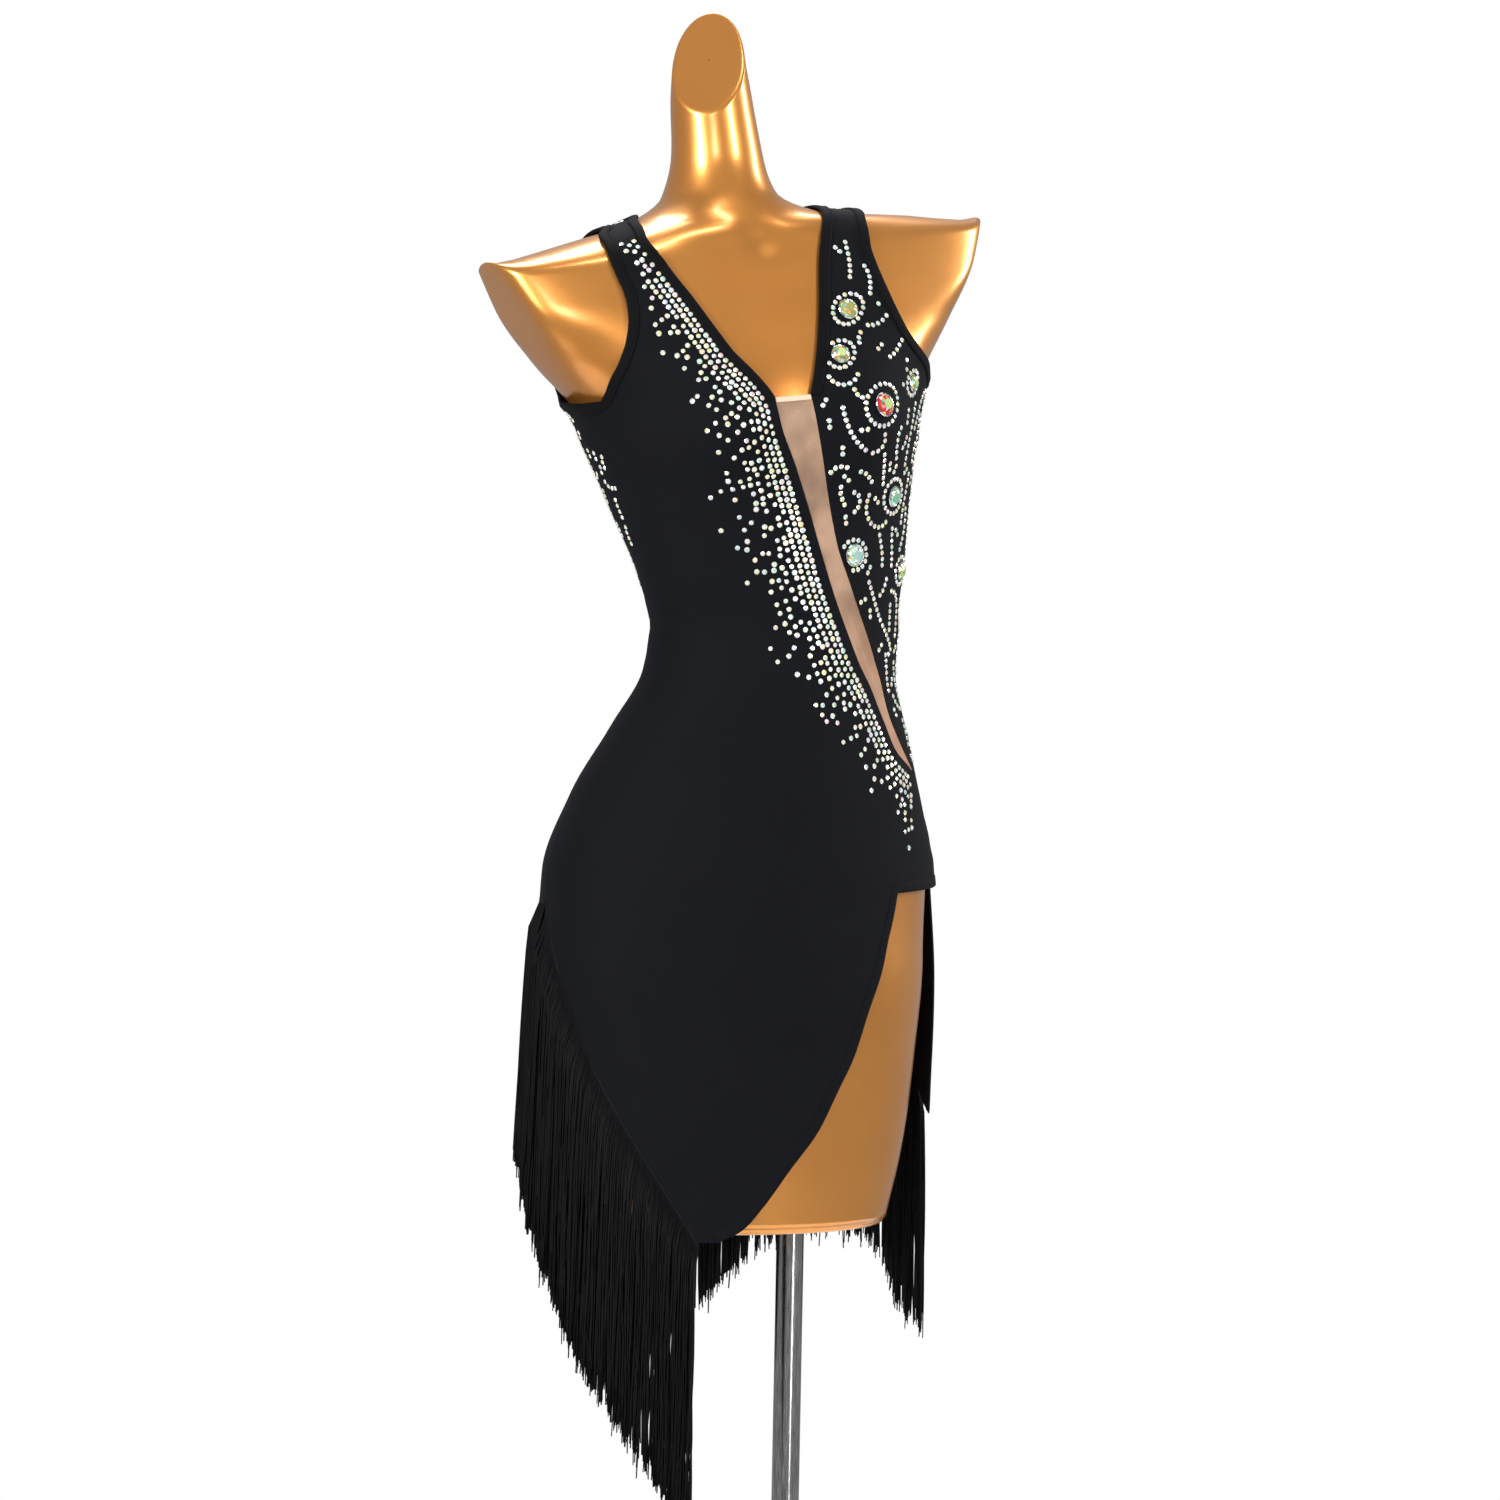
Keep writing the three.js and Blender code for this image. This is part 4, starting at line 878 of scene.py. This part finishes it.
def fringePieces(name, line):
    # a narrow tape below the hem, and strands that leave it outwards, then hang and wander a little
    row = hang[name]
    draw = np.random.default_rng(row["seed"])
    drops = [fringe["tapeClear"], fringe["tapeClear"] + 1, fringe["tapeDrop"]]
    grid = np.stack([line - [0, drop] for drop in drops], axis=0)
    heights = np.array([high - 0.2, high + 0.3, high + 0.2])[:, None]
    tape = wallPiece(name + "_tape", [(grid, heights, low)], fringeCord)
    roots = proudOf(clothSurface, line - [0, 0.45 * fringe["tapeDrop"]], high - 0.4)
    level = np.linalg.norm(np.diff(roots[:, :2], axis=0), axis=1)
    steep = np.linalg.norm(np.diff(roots, axis=0), axis=1)
    travelled = np.concatenate([[0], np.cumsum(0.65 * level + 0.35 * steep)])
    count = int(travelled[-1] / fringe["pitch"])
    layer = np.arange(count * fringe["layers"]) % fringe["layers"]
    at = np.linspace(0.4, travelled[-1] - 0.4, count * fringe["layers"]) + draw.uniform(-0.3, 0.3, len(layer))
    top = pickedAt(at, travelled, roots)
    centre = np.array([clothRows[1][1], clothRows[1][2]])
    outward = np.zeros_like(top)
    outward[:, :2] = unit(top[:, :2] - centre)
    sideways = np.stack([-outward[:, 1], outward[:, 0], np.zeros(len(top))], axis=-1)
    angles = np.interp(at, travelled, line[:, 0])
    shorter, rideOut, leanMore = (sum(swell[key] * np.exp(-((angles - swell["angle"]) / swell["width"]) ** 2)
                                      for swell in hipSwells) for key in ("shorter", "standOff", "lean"))
    length = row["length"] - shorter + draw.normal(0, fringe["ragged"], len(top))
    length += draw.choice([0, -16, 10], len(top), p=[0.9, 0.06, 0.04])
    s = np.linspace(0, 1, fringe["rings"])[None, :, None]
    lock = np.floor(at / fringe["lock"]).astype(int)
    lockPull = (lock + 0.5) * fringe["lock"] - at
    sway = draw.normal(0, 1.5, (lock.max() + 1, 2))[lock]
    standOff = (row["standOff"] + rideOut)[:, None, None]
    lean = (row["lean"] + leanMore)[:, None, None]
    leave = standOff * (1 - np.exp(-s / 0.07)) + lean * s ** 0.8
    away = (layer * 1.1 + draw.uniform(-0.5, 0.5, len(at)))[:, None, None] * np.minimum(1, s / 0.05)
    phase = draw.uniform(0, 2 * math.pi, (len(at), 1, 1))
    wander = (0.6 + 1.3 * s) * np.sin(phase + s * draw.uniform(3, 9, (len(at), 1, 1))) * np.minimum(1, s * 5)
    pull = (lockPull[:, None, None] * 0.42 + sway[:, :1, None]) * s ** 1.5
    centreLine = (top[:, None] + outward[:, None] * (leave + away + sway[:, 1:, None] * s)
                  + sideways[:, None] * (wander + pull))
    centreLine[..., 2] = top[:, None, 2] - length[:, None] * s[..., 0]
    ring = np.linspace(0, 2 * math.pi, fringe["sides"], endpoint=False)
    taper = np.where(s < 0.97, 1.0, 0.75) * fringe["radius"] * draw.uniform(0.85, 1.2, (len(at), 1, 1))
    circle = (np.cos(ring)[None, None, :, None] * outward[:, None, None]
              + np.sin(ring)[None, None, :, None] * sideways[:, None, None]) * taper[..., None]
    points = centreLine[:, :, None] + circle
    strands, rings, sides = points.shape[:3]
    one = gridFaces(rings, sides, closeColumns=True)
    faces = (one[None] + (np.arange(strands) * rings * sides)[:, None, None]).reshape(-1, 4)
    ends = np.concatenate([(np.arange(sides)[None] + (np.arange(strands) * rings * sides)[:, None]),
                           (np.arange(sides)[::-1][None] + (np.arange(strands) * rings * sides
                                                            + (rings - 1) * sides)[:, None])])
    uv = np.stack(np.broadcast_arrays(np.arange(sides)[None, None, :] * 1.3, s * row["length"]), axis=-1)
    uv = np.broadcast_to(uv, (strands, rings, sides, 2)).reshape(-1, 2)
    allFaces = faces.tolist() + ends.tolist()
    hung = makePiece(name + "_strands", points.reshape(-1, 3), allFaces, fringeCord, uv=uv)
    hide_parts(name)
    return tape, hung


backAngles = np.linspace(body["sideLeft"] + 0.4, body["sideRight"] + 359.6, 400)
backLine = np.stack([backAngles, hemHeight(backAngles)], axis=-1)
apex = int(np.argmax(np.where(backAngles < 180, backLine[:, 1], 0)))
fringeFront = fringePieces("fringe_front", smoothEdge(fringeEdgeFront)(np.linspace(0.003, 1, 160)))
onLeft = (backAngles > 95.5) & (np.arange(len(backLine)) <= apex)
fringeLeft = fringePieces("fringe_back_left", backLine[onLeft])
fringeRight = fringePieces("fringe_back_right", backLine[apex:])
print("stage: fringe", [len(p[1].data.polygons) for p in (fringeFront, fringeLeft, fringeRight)])

# ---------- stones ----------
tints = ["#fbfbf2", "#f3f8e6", "#fdf1e0", "#eaf2fb", "#f8e8ee", "#e2f5ec", "#fff7d6", "#ffffff", "#efe6f8"]


def gemShape(sides, rings, twist):
    # rings of (radius, height); every second ring is turned half a facet; closed by flat ends
    points, faces = [], []
    for level, (radius, height) in enumerate(rings):
        turn = (np.arange(sides) + 0.5 * (level in twist)) * 2 * math.pi / sides
        ring = [radius * np.cos(turn), radius * np.sin(turn), np.full(sides, height)]
        points.append(np.stack(ring, axis=-1))
    for level in range(1, len(rings)):
        for k in range(sides):
            a, b = (level - 1) * sides + k, (level - 1) * sides + (k + 1) % sides
            c, d = level * sides + (k + 1) % sides, level * sides + k
            if (level in twist) == ((level - 1) in twist):
                faces.append([a, b, c, d])
            elif level in twist:
                faces += [[a, b, d], [b, c, d]]
            else:
                faces += [[a, b, c], [a, c, d]]
    last = (len(rings) - 1) * sides
    return np.concatenate(points), faces + [list(range(sides))[::-1], [last + k for k in range(sides)]]


def setGems(name, places, radii, shape, material, colours, glintColours, lift=0.0):
    # one copy of a stone at each place, standing on the cloth; each facet takes the stone's own colour or a
    # painted glint colour
    draw = np.random.default_rng(21)
    template, faces = shape
    across, _, normal = slopesAt(clothSurface, places)
    side = unit(across)
    other = np.cross(normal, side)
    turn = draw.uniform(0, 2 * math.pi, len(places))[:, None]
    sideTurned = side * np.cos(turn) + other * np.sin(turn)
    otherTurned = other * np.cos(turn) - side * np.sin(turn)
    base = proudOf(clothSurface, places, high + creaseRise(places) - 0.05 + lift)
    points = base[:, None] + radii[:, None, None] * (
        template[None, :, :1] * sideTurned[:, None] + template[None, :, 1:2] * otherTurned[:, None]
        + template[None, :, 2:] * normal[:, None])
    count = len(template)
    allFaces = [[v + k * count for v in face] for k in range(len(places)) for face in faces]
    piece = makePiece(name, points.reshape(-1, 3), allFaces, material, smooth=False)
    attribute = piece.data.color_attributes.new(name="tint", type="FLOAT_COLOR", domain="CORNER")
    sizes = np.array([len(face) for face in faces])
    stone = np.asarray(colours)[:, None, :3]
    # painted glints: a little under half of the facets take a glint colour, white or tinted, in place of the
    # stone's own
    change = draw.uniform(0, 1, (len(places), len(faces), 1))
    glintPicked = draw.integers(0, len(glintColours), (len(places), len(faces)))
    pick = np.array([srgb(code)[:3] for code in glintColours])[glintPicked]
    facet = np.where(change < 0.55, np.broadcast_to(stone, pick.shape), pick)
    values = np.concatenate([facet, np.ones(facet.shape[:2] + (1,))], axis=-1)
    corners = np.repeat(values, sizes, axis=1).reshape(-1, 4)
    attribute.data.foreach_set("color", corners.astype(np.float32).ravel())
    return piece


smallGem = gemShape(8, [(0.94, 0.0), (1.0, 0.14), (0.58, 0.5)], {2})
largeGem = gemShape(12, [(0.95, 0.0), (1.0, 0.12), (0.82, 0.32), (0.5, 0.52)], {2})
# colours of the painted glints on the facets, partly the coat's own play of colour: white and pale for the
# small stones, white and bright for the large
smallGlintColours = ["#ffffff", "#dff2cf", "#f8dfb8", "#c9e2fb", "#f3c6da", "#b4e8cf", "#fbe89a"]
largeGlintColours = ["#ffffff", "#96dca6", "#f2c06c", "#80c9e6", "#f7ad90", "#d8f3a2", "#63a386"]

scatter = {"rows": 14, "first": 9.6, "spacing": 5.0, "fadeFrom": 0.84}
crystalPath = np.concatenate([shoulderEdge(rightNeckline)(np.linspace(0.28, 1, 120)),
                              smoothEdge(insertLeft)(np.linspace(0, 1, 160))[1:],
                              smoothEdge([[60, 365], [58.5, 352], [55, 335], [52.5, 318], [50, 300]])(
                                  np.linspace(0, 1, 40))[1:]])
# how far the crystals spread from the path, along it
spread = table("at reach", [
    [0, 24], [0.08, 34], [0.2, 62], [0.35, 74], [0.55, 66], [0.75, 56], [0.9, 44], [1, 30]])


def scatterPlaces():
    # rows beside the path; stones in a row stand further apart, and more of them are left out, further away
    along = headings(crystalPath)
    travelled = travelledAlong(clothSurface(crystalPath))
    reach = smoothCurve(spread["at"], spread["reach"])
    found, sizes = [], []
    distance, gap = scatter["first"], 4.7
    for row in range(scatter["rows"]):
        near = row < 3
        at = np.arange(0, travelled[-1], scatter["spacing"] * (1 + 0.14 * max(0, row - 2) ** 1.1))
        at = at + (row % 2) * 0.5 * scatter["spacing"]
        jitter = 0.45 if near else 0.9 + 0.22 * row
        at = np.clip(at + rng.uniform(-jitter, jitter, len(at)), 0, travelled[-1])
        away = distance + rng.uniform(-jitter, jitter, len(at)) * 0.8
        share = away / reach(at / travelled[-1])
        keep = rng.uniform(0, 1, len(at)) > np.clip((share - 0.36) * 1.25, 0, 1) * (0 if near else 1)
        keep &= share < 1.05
        leftOut = np.clip((at / travelled[-1] - scatter["fadeFrom"]) * 5.5, 0, 0.85)
        keep &= rng.uniform(0, 1, len(at)) > leftOut
        moved = walk(pickedAt(at, travelled, crystalPath), pickedAt(at, travelled, along), -away)
        found.append(moved[keep])
        sizes.append(np.full(keep.sum(), 2.0) + rng.uniform(-0.15, 0.3, keep.sum()))
        gap *= 1.07
        distance += gap
    return np.concatenate(found), np.concatenate(sizes)


def scrollPlaces(rows, step=4.9):
    # each scroll starts at a place with a heading; its bend changes evenly along its length
    scrolls = table("angle height heading length bendFrom bendTo", rows)
    found = []
    for i in range(len(scrolls["angle"])):
        place = np.array([scrolls["angle"][i], scrolls["height"][i]])
        heading = scrolls["heading"][i]
        count = int(scrolls["length"][i] / step)
        for k in range(count + 1):
            found.append(place)
            across, rise, _ = slopesAt(clothSurface, place)
            bendChange = scrolls["bendTo"][i] - scrolls["bendFrom"][i]
            bend = scrolls["bendFrom"][i] + bendChange * k / max(count, 1)
            heading += bend * step
            place = place + [math.cos(math.radians(heading)) * step / np.linalg.norm(across),
                             math.sin(math.radians(heading)) * step / np.linalg.norm(rise)]
    return np.array(found)


def grownScrolls(outline, taken, tries, lengths, draw):
    # fills what is free: a scroll is kept if all of it lies in the outline and clear of what stands already
    found = []
    spacing = 6.6
    points = clothSurface(taken)
    low, top = outline.min(axis=0), outline.max(axis=0)
    for _ in range(tries):
        start = draw.uniform(low, top)
        nearest = np.linalg.norm(clothSurface(start) - points, axis=1).min()
        if not free(start[None], outline)[0] or nearest < spacing:
            continue
        heading = draw.choice([-90, 90, draw.uniform(-180, 180)]) + draw.uniform(-45, 45)
        curl = draw.choice([-1, 1])
        length = draw.uniform(*lengths)
        row = [*start, heading, length, curl * draw.uniform(-2, 2.5), curl * draw.uniform(2, 8.5)]
        places = scrollPlaces([row])
        spots = clothSurface(places)
        gaps = np.linalg.norm(spots[:, None] - spots[None], axis=-1) + 9 * np.eye(len(spots))
        if gaps.min() < 4.3 or not free(places, outline).all():
            continue
        if np.linalg.norm(spots[:, None] - points[None], axis=-1).min() < spacing:
            continue
        points = np.concatenate([points, spots])
        found.append(places)
    return np.concatenate([np.zeros((0, 2))] + found)


def apart(places, distance, others=None):
    # leaves out stones that would stand on an earlier one
    points = clothSurface(places)
    kept = [] if others is None else list(clothSurface(others))
    start = len(kept)
    chosen = []
    for i, point in enumerate(points):
        if not kept or np.min(np.linalg.norm(np.array(kept) - point, axis=1)) > distance:
            kept.append(point)
            chosen.append(i)
    return np.array(chosen, int)


def within(places, outline, margin):
    # inside an outline of places, by an odd number of crossings to one side, and clear of it by a margin
    ends = np.roll(outline, -1, axis=0)
    height = places[:, 1][:, None]
    crosses = (outline[:, 1] > height) != (ends[:, 1] > height)
    rise = np.where(crosses, ends[:, 1] - outline[:, 1], 1)
    at = outline[:, 0] + (height - outline[:, 1]) * (ends[:, 0] - outline[:, 0]) / rise
    inside = (crosses & (at > places[:, 0][:, None])).sum(axis=1) % 2 == 1
    gaps = np.linalg.norm(clothSurface(places)[:, None] - clothSurface(outline)[None], axis=-1).min(axis=1)
    return inside & (gaps > margin)


def free(places, outline):
    # inside the cloth's outline, and past the bindings where it has them
    edges = clothSurface(np.concatenate([neckLine, leftHole, neckLine + turnBack, rightHole + turnBack]))
    gaps = np.linalg.norm(clothSurface(places)[:, None] - edges[None], axis=-1).min(axis=1)
    return within(places, outline, 4.0) & (gaps > trimmed)


def outlineOf(grids):
    # down the first column of the grids and back up the last
    down = np.concatenate([grid[:, 0] for grid in grids])
    up = np.concatenate([grid[:, -1] for grid in grids])[::-1]
    return np.concatenate([down, up])


leftPart = outlineOf(leftFront)
backOutline = np.concatenate([
    backLeft[0][:, 0], backLeft[1][:, 0], backRight[1][::-1, -1], backRight[0][::-1, -1],
    backRight[0][:backRows["neck"], 0], backLeft[0][:backRows["neck"], -1][::-1]])
trimmed = 9.4  # from a cloth edge to a crystal's middle: past the binding

# angle, height, radius of the stone, radius of the ring of crystals round it, colour
largeStones = [
    [16, 714, 7.5, 13.5, "#b9b36a"], [14, 680, 7, 12, "#c2a463"], [29, 640, 8.5, 16.5, "#e0303a"],
    [43, 572, 7.5, 14, "#8fd0b4"], [20, 529, 8, 12, "#bfe0d8"], [47, 655, 6.5, 11, "#9bbf7a"],
    [58, 516, 6.5, 11, "#c9cf7c"], [197, 712, 7.5, 13.5, "#b9b36a"], [214, 672, 7, 12.5, "#8fd0b4"],
    [203, 628, 8, 14.5, "#d8c06c"], [222, 590, 7.5, 13.5, "#bfe0d8"], [208, 542, 7, 12, "#c2a463"]]

# scrolls on the left front, then on the back
frontScrolls = [
    [17, 766, -92, 34, 0.3, -1.4], [23, 752, -30, 30, -2.6, -4.2], [24, 716, 12, 40, -2.4, -3.0],
    [22, 700, -20, 34, 3.2, 6.0], [36, 694, -110, 34, 1.2, -4.5], [10, 664, -70, 30, 3.5, 5.5],
    [20, 664, -150, 26, 3.6, 6.5], [40, 672, -60, 26, -1.5, -4.0], [14, 640, -80, 44, 0.6, 1.8],
    [52, 640, -96, 52, -0.5, 0.9], [62, 632, -92, 46, 0.8, -1.2], [20, 612, -60, 40, 3.0, 7.5],
    [16, 596, 150, 24, 4.0, 7.0], [32, 604, -70, 36, -1.2, 1.6], [27, 574, -120, 50, 2.2, 5.5],
    [56, 588, -80, 40, -1.8, 1.4], [70, 596, -95, 70, 0.4, -0.6], [20, 562, 20, 22, 5.0, 9.0],
    [34, 548, -85, 30, 1.4, -2.2], [44, 548, -95, 34, 1.2, -1.0], [29, 508, -60, 36, -0.4, 0.8],
    [36, 486, -66, 40, 1.4, -1.2], [48, 490, -80, 40, -1.0, 1.4], [66, 494, -92, 60, 0.5, -0.4],
    [46, 452, -60, 34, -2.2, 1.6], [58, 446, -84, 40, 1.2, -0.8], [54, 420, -70, 26, 2.4, 5.0],
    [62, 402, -76, 24, -1.0, 0.6], [76, 560, -92, 60, -0.3, 0.5], [78, 640, -94, 60, 0.4, -0.4]]
backScrolls = [
    [188, 742, -20, 34, -2.4, -4.0], [206, 742, -60, 40, -1.2, 1.8], [190, 690, -80, 40, 2.2, 5.5],
    [224, 700, -100, 44, -1.6, -3.6], [200, 690, -40, 30, 3.0, 6.0], [228, 660, -70, 44, -1.0, 1.8],
    [190, 652, -100, 40, -1.8, 2.6], [216, 646, -50, 36, -3.2, -6.0], [236, 640, -96, 50, 1.2, -1.0],
    [196, 606, -60, 36, 2.8, 6.0], [232, 616, -80, 40, 1.8, 4.6], [244, 640, -84, 60, -0.8, 1.2],
    [250, 600, -96, 60, 0.8, -1.4], [256, 640, -92, 70, 0.3, -0.4], [212, 590, -120, 36, 2.0, 5.0],
    [190, 580, -80, 44, 1.6, -2.2], [228, 566, -70, 40, 2.0, -3.0], [242, 560, -88, 50, -1.2, 2.0],
    [218, 530, -60, 40, -3.0, -5.0], [198, 522, -90, 44, 1.6, 4.4], [234, 520, -80, 44, 1.4, -1.4],
    [222, 500, -100, 40, -0.8, 2.4], [254, 570, -90, 60, -0.4, 0.6], [206, 500, -86, 50, 0.8, -1.2]]

scattered, scatterRadii = scatterPlaces()
keep = within(scattered, outlineOf(front), trimmed - 0.6)
scattered, scatterRadii = scattered[keep], scatterRadii[keep]
keep = apart(scattered, 4.15)
scattered, scatterRadii = scattered[keep], scatterRadii[keep]
centres = np.array([row[:2] for row in largeStones], float)
ringPlaces = []
for angle, height, radius, ringRadius, _ in largeStones:
    turn = np.linspace(0, 2 * math.pi, int(2 * math.pi * ringRadius / 4.8), endpoint=False)
    across, rise, _ = slopesAt(clothSurface, np.array([angle, height], float))
    ringPlaces.append(np.stack([angle + ringRadius * np.cos(turn) / np.linalg.norm(across),
                                height + ringRadius * np.sin(turn) / np.linalg.norm(rise)], axis=-1))
ringPlaces = np.concatenate(ringPlaces)
ringPlaces = ringPlaces[free(ringPlaces, leftPart) | free(ringPlaces, backOutline)]
scrolled = np.concatenate([scrollPlaces(frontScrolls), scrollPlaces(backScrolls)])
backPart = backOutline[backOutline[:, 1] > 400 + 0.66 * (backOutline[:, 0] - body["sideLeft"])]
centrePoints = clothSurface(centres)
clear = np.array([np.linalg.norm(centrePoints - point, axis=1).min() for point in clothSurface(scrolled)])
scrolled = scrolled[clear > 11]
scrolled = scrolled[free(scrolled, leftPart) | free(scrolled, backOutline)]
scrolled = scrolled[apart(scrolled, 4.2, ringPlaces)]
motif = np.concatenate([ringPlaces, scrolled])
draw = np.random.default_rng(8)
ornamented = (leftPart, backPart)
for lengths, tries in (((34, 62), 500), ((15, 30), 600), ((5, 12), 500)):
    for outline in ornamented:
        grown = grownScrolls(outline, np.concatenate([motif, centres]), tries, lengths, draw)
        motif = np.concatenate([motif, grown])
# the back's ornament runs a little way round the wearer's right side
sidePart = np.array([[-89.5, 630], [-82, 626], [-79.5, 606], [-81.5, 586], [-85, 564], [-89.5, 540]], float)
for lengths, tries in (((14, 26), 500), ((5, 12), 400)):
    motif = np.concatenate([motif, grownScrolls(sidePart, motif, tries, lengths, draw)])
allPlaces = np.concatenate([scattered, motif])
allRadii = np.concatenate([scatterRadii, np.full(len(motif), 2.05)])
stoneTints = np.array([srgb(code) for code in tints])[rng.integers(0, len(tints), len(allPlaces))]
smallStones = setGems("crystals_small", allPlaces, allRadii, smallGem, smallCrystal, stoneTints, smallGlintColours)
largeRadii = np.array([row[2] for row in largeStones])
largeTints = np.array([srgb(row[4]) for row in largeStones])
bigStones = setGems("crystals_large", centres, largeRadii, largeGem, largeCrystal, largeTints, largeGlintColours,
                    lift=0.6)
# a cup is a ring round each large stone: no flat ends, and its last wall joins the first ring again
cupSides = 20
cupRings = [(0.9, 0.0), (1.12, 0.0), (1.14, 0.1), (1.06, 0.2), (0.98, 0.16), (0.9, 0.02)]
cupPoints, cupWalls = gemShape(cupSides, cupRings, set())
lastRing = (len(cupRings) - 1) * cupSides
cupFaces = [face for face in cupWalls if len(face) == 4]
cupFaces += [[lastRing + k, lastRing + (k + 1) % cupSides, (k + 1) % cupSides, k] for k in range(cupSides)]
setGems("crystal_cups", centres, largeRadii, (cupPoints, cupFaces), foil, np.ones((len(centres), 4)),
        ["#ffffff"])
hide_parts(*["stone_%d" % (i + 1) for i in range(len(largeStones))])
print("stage: stones", len(allPlaces))

# ---------- stand ----------
stand = {"hole": 0.5, "poleRadius": 11.0, "poleFrom": 11.3, "poleTop": body["formBottom"] + 2.0,
         "baseRadius": 170.0, "baseEdge": 5.0, "baseHeight": 11.0, "collarRadius": 19.0, "collarTop": 45.3,
         "sides": 96}


def turnedPiece(name, outline, material):
    # an outline of (radius, height), from the axis to the axis, turned round the pole's axis
    outline = np.array(outline, float)
    turn = np.linspace(0, 2 * math.pi, stand["sides"], endpoint=False)
    radius, height = outline[:, 0][:, None], outline[:, 1][:, None]
    points = np.stack([radius * np.cos(turn), radius * np.sin(turn), height + 0 * turn], axis=-1)
    piece = makePiece(name, points.reshape(-1, 3), ringFaces(*points.shape[:2]), material, sharp=35)
    return piece


def rounded(corners, radius=0.8, count=4):
    # an outline with its inner corners rounded by small arcs
    result = [corners[0]]
    for before, corner, after in zip(corners, corners[1:], corners[2:]):
        before, corner, after = (np.array(p, float) for p in (before, corner, after))
        cut = min(radius, np.linalg.norm(before - corner) / 2.1, np.linalg.norm(after - corner) / 2.1)
        start, end = corner + unit(before - corner) * cut, corner + unit(after - corner) * cut
        for t in np.linspace(0, 1, count):
            result.append(tuple((1 - t) ** 2 * start + 2 * t * (1 - t) * corner + t * t * end))
    return result + [corners[-1]]


hole, pole, base, ring = stand["hole"], stand["poleRadius"], stand["baseRadius"], stand["collarRadius"]
foot, top, collarTop, plateTop = stand["poleFrom"], stand["poleTop"], stand["collarTop"], stand["baseHeight"]
baseOutline = [(hole, 0), (base - 2, 0), (base, 2), (base, stand["baseEdge"]), (102, 9.5), (25, plateTop),
               (hole, plateTop)]
poleOutline = [(hole, foot), (pole, foot), (pole, top), (hole, top)]
collarOutline = [(10.5, foot), (ring, foot), (ring, 42), (16, collarTop), (11.4, collarTop), (10.5, 44)]
basePlate = turnedPiece("base_plate", rounded(baseOutline), plate)
poleTube = turnedPiece("pole_tube", rounded(poleOutline, 0.4), chrome)
collarPiece = turnedPiece("pole_collar", rounded(collarOutline, 1.2), chrome)
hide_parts("stand_base")
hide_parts("stand_pole")
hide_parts("stand_collar")
print("stage: stand")

# ---------- floor, light ----------
room = {"floorRadius": 1.45, "worldLight": 0.31}


def makeRoom():
    # a pale floor, and a white world that lights the object more dimly than it shows
    floorMaterial, tree, shader = newMaterial("studio floor, matt paint", Roughness=0.9)
    shader.inputs["Base Color"].default_value = srgb("#f4f3f1")
    turn = np.linspace(0, 2 * math.pi, 96, endpoint=False)
    radius = room["floorRadius"]
    mesh = bpy.data.meshes.new("studio_floor")
    corners = [(radius * math.cos(a), radius * math.sin(a), -0.0005) for a in turn]
    mesh.from_pydata(corners, [], [list(range(len(corners)))])
    mesh.materials.append(floorMaterial)
    floor = bpy.data.objects.new("studio_floor", mesh)
    bpy.context.scene.collection.objects.link(floor)
    world = bpy.data.worlds.new("studio")
    bpy.context.scene.world = world
    world.use_nodes = True
    tree = world.node_tree
    seen = addNode(tree, "ShaderNodeLightPath").outputs["Is Camera Ray"]
    dim = tree.nodes["Background"]
    dim.inputs["Color"].default_value = (1, 1, 1, 1)
    dim.inputs["Strength"].default_value = room["worldLight"]
    bright = addNode(tree, "ShaderNodeBackground", {"Color": (1, 1, 1, 1), "Strength": 1.0})
    both = addNode(tree, "ShaderNodeMixShader", {0: seen, 1: dim.outputs[0], 2: bright.outputs[0]})
    tree.links.new(both.outputs[0], tree.nodes["World Output"].inputs["Surface"])


lamps = table("x y z aimZ width height power", [
    [-2.5, -1.0, 1.95, 1.5, 0.58, 1.2, 84], [1.1, -2.6, 1.95, 1.5, 0.3, 1.1, 46],
    [-1.7, -2.9, 2.0, 1.2, 0.8, 0.8, 18], [0.3, 1.1, 3.5, 1.2, 1.2, 1.2, 40],
    [2.8, -0.2, 2.3, 1.4, 0.6, 1.8, 50], [0.5, -3.1, 0.75, 0.6, 0.22, 1.1, 9],
    [0.0, -1.1, 4.5, 1.5, 1.2, 0.4, 20]])


def makeLamps():
    # each soft lamp stands at its place and faces a height on the object
    for i in range(len(lamps["x"])):
        lamp = bpy.data.objects.new("softbox_%d" % (i + 1), bpy.data.lights.new("softbox", "AREA"))
        lamp.data.shape = "RECTANGLE"
        lamp.data.size, lamp.data.size_y = lamps["width"][i], lamps["height"][i]
        lamp.data.energy = lamps["power"][i]
        place = Vector((lamps["x"][i], lamps["y"][i], lamps["z"][i]))
        way = Vector((-0.05, 0, lamps["aimZ"][i])) - place
        lamp.matrix_world = Matrix.Translation(place) @ way.to_track_quat("-Z", "Y").to_matrix().to_4x4()
        lamp.visible_camera = False
        bpy.context.scene.collection.objects.link(lamp)


makeRoom()
makeLamps()
bpy.context.scene.view_settings.view_transform = "Standard"
print("stage: room")
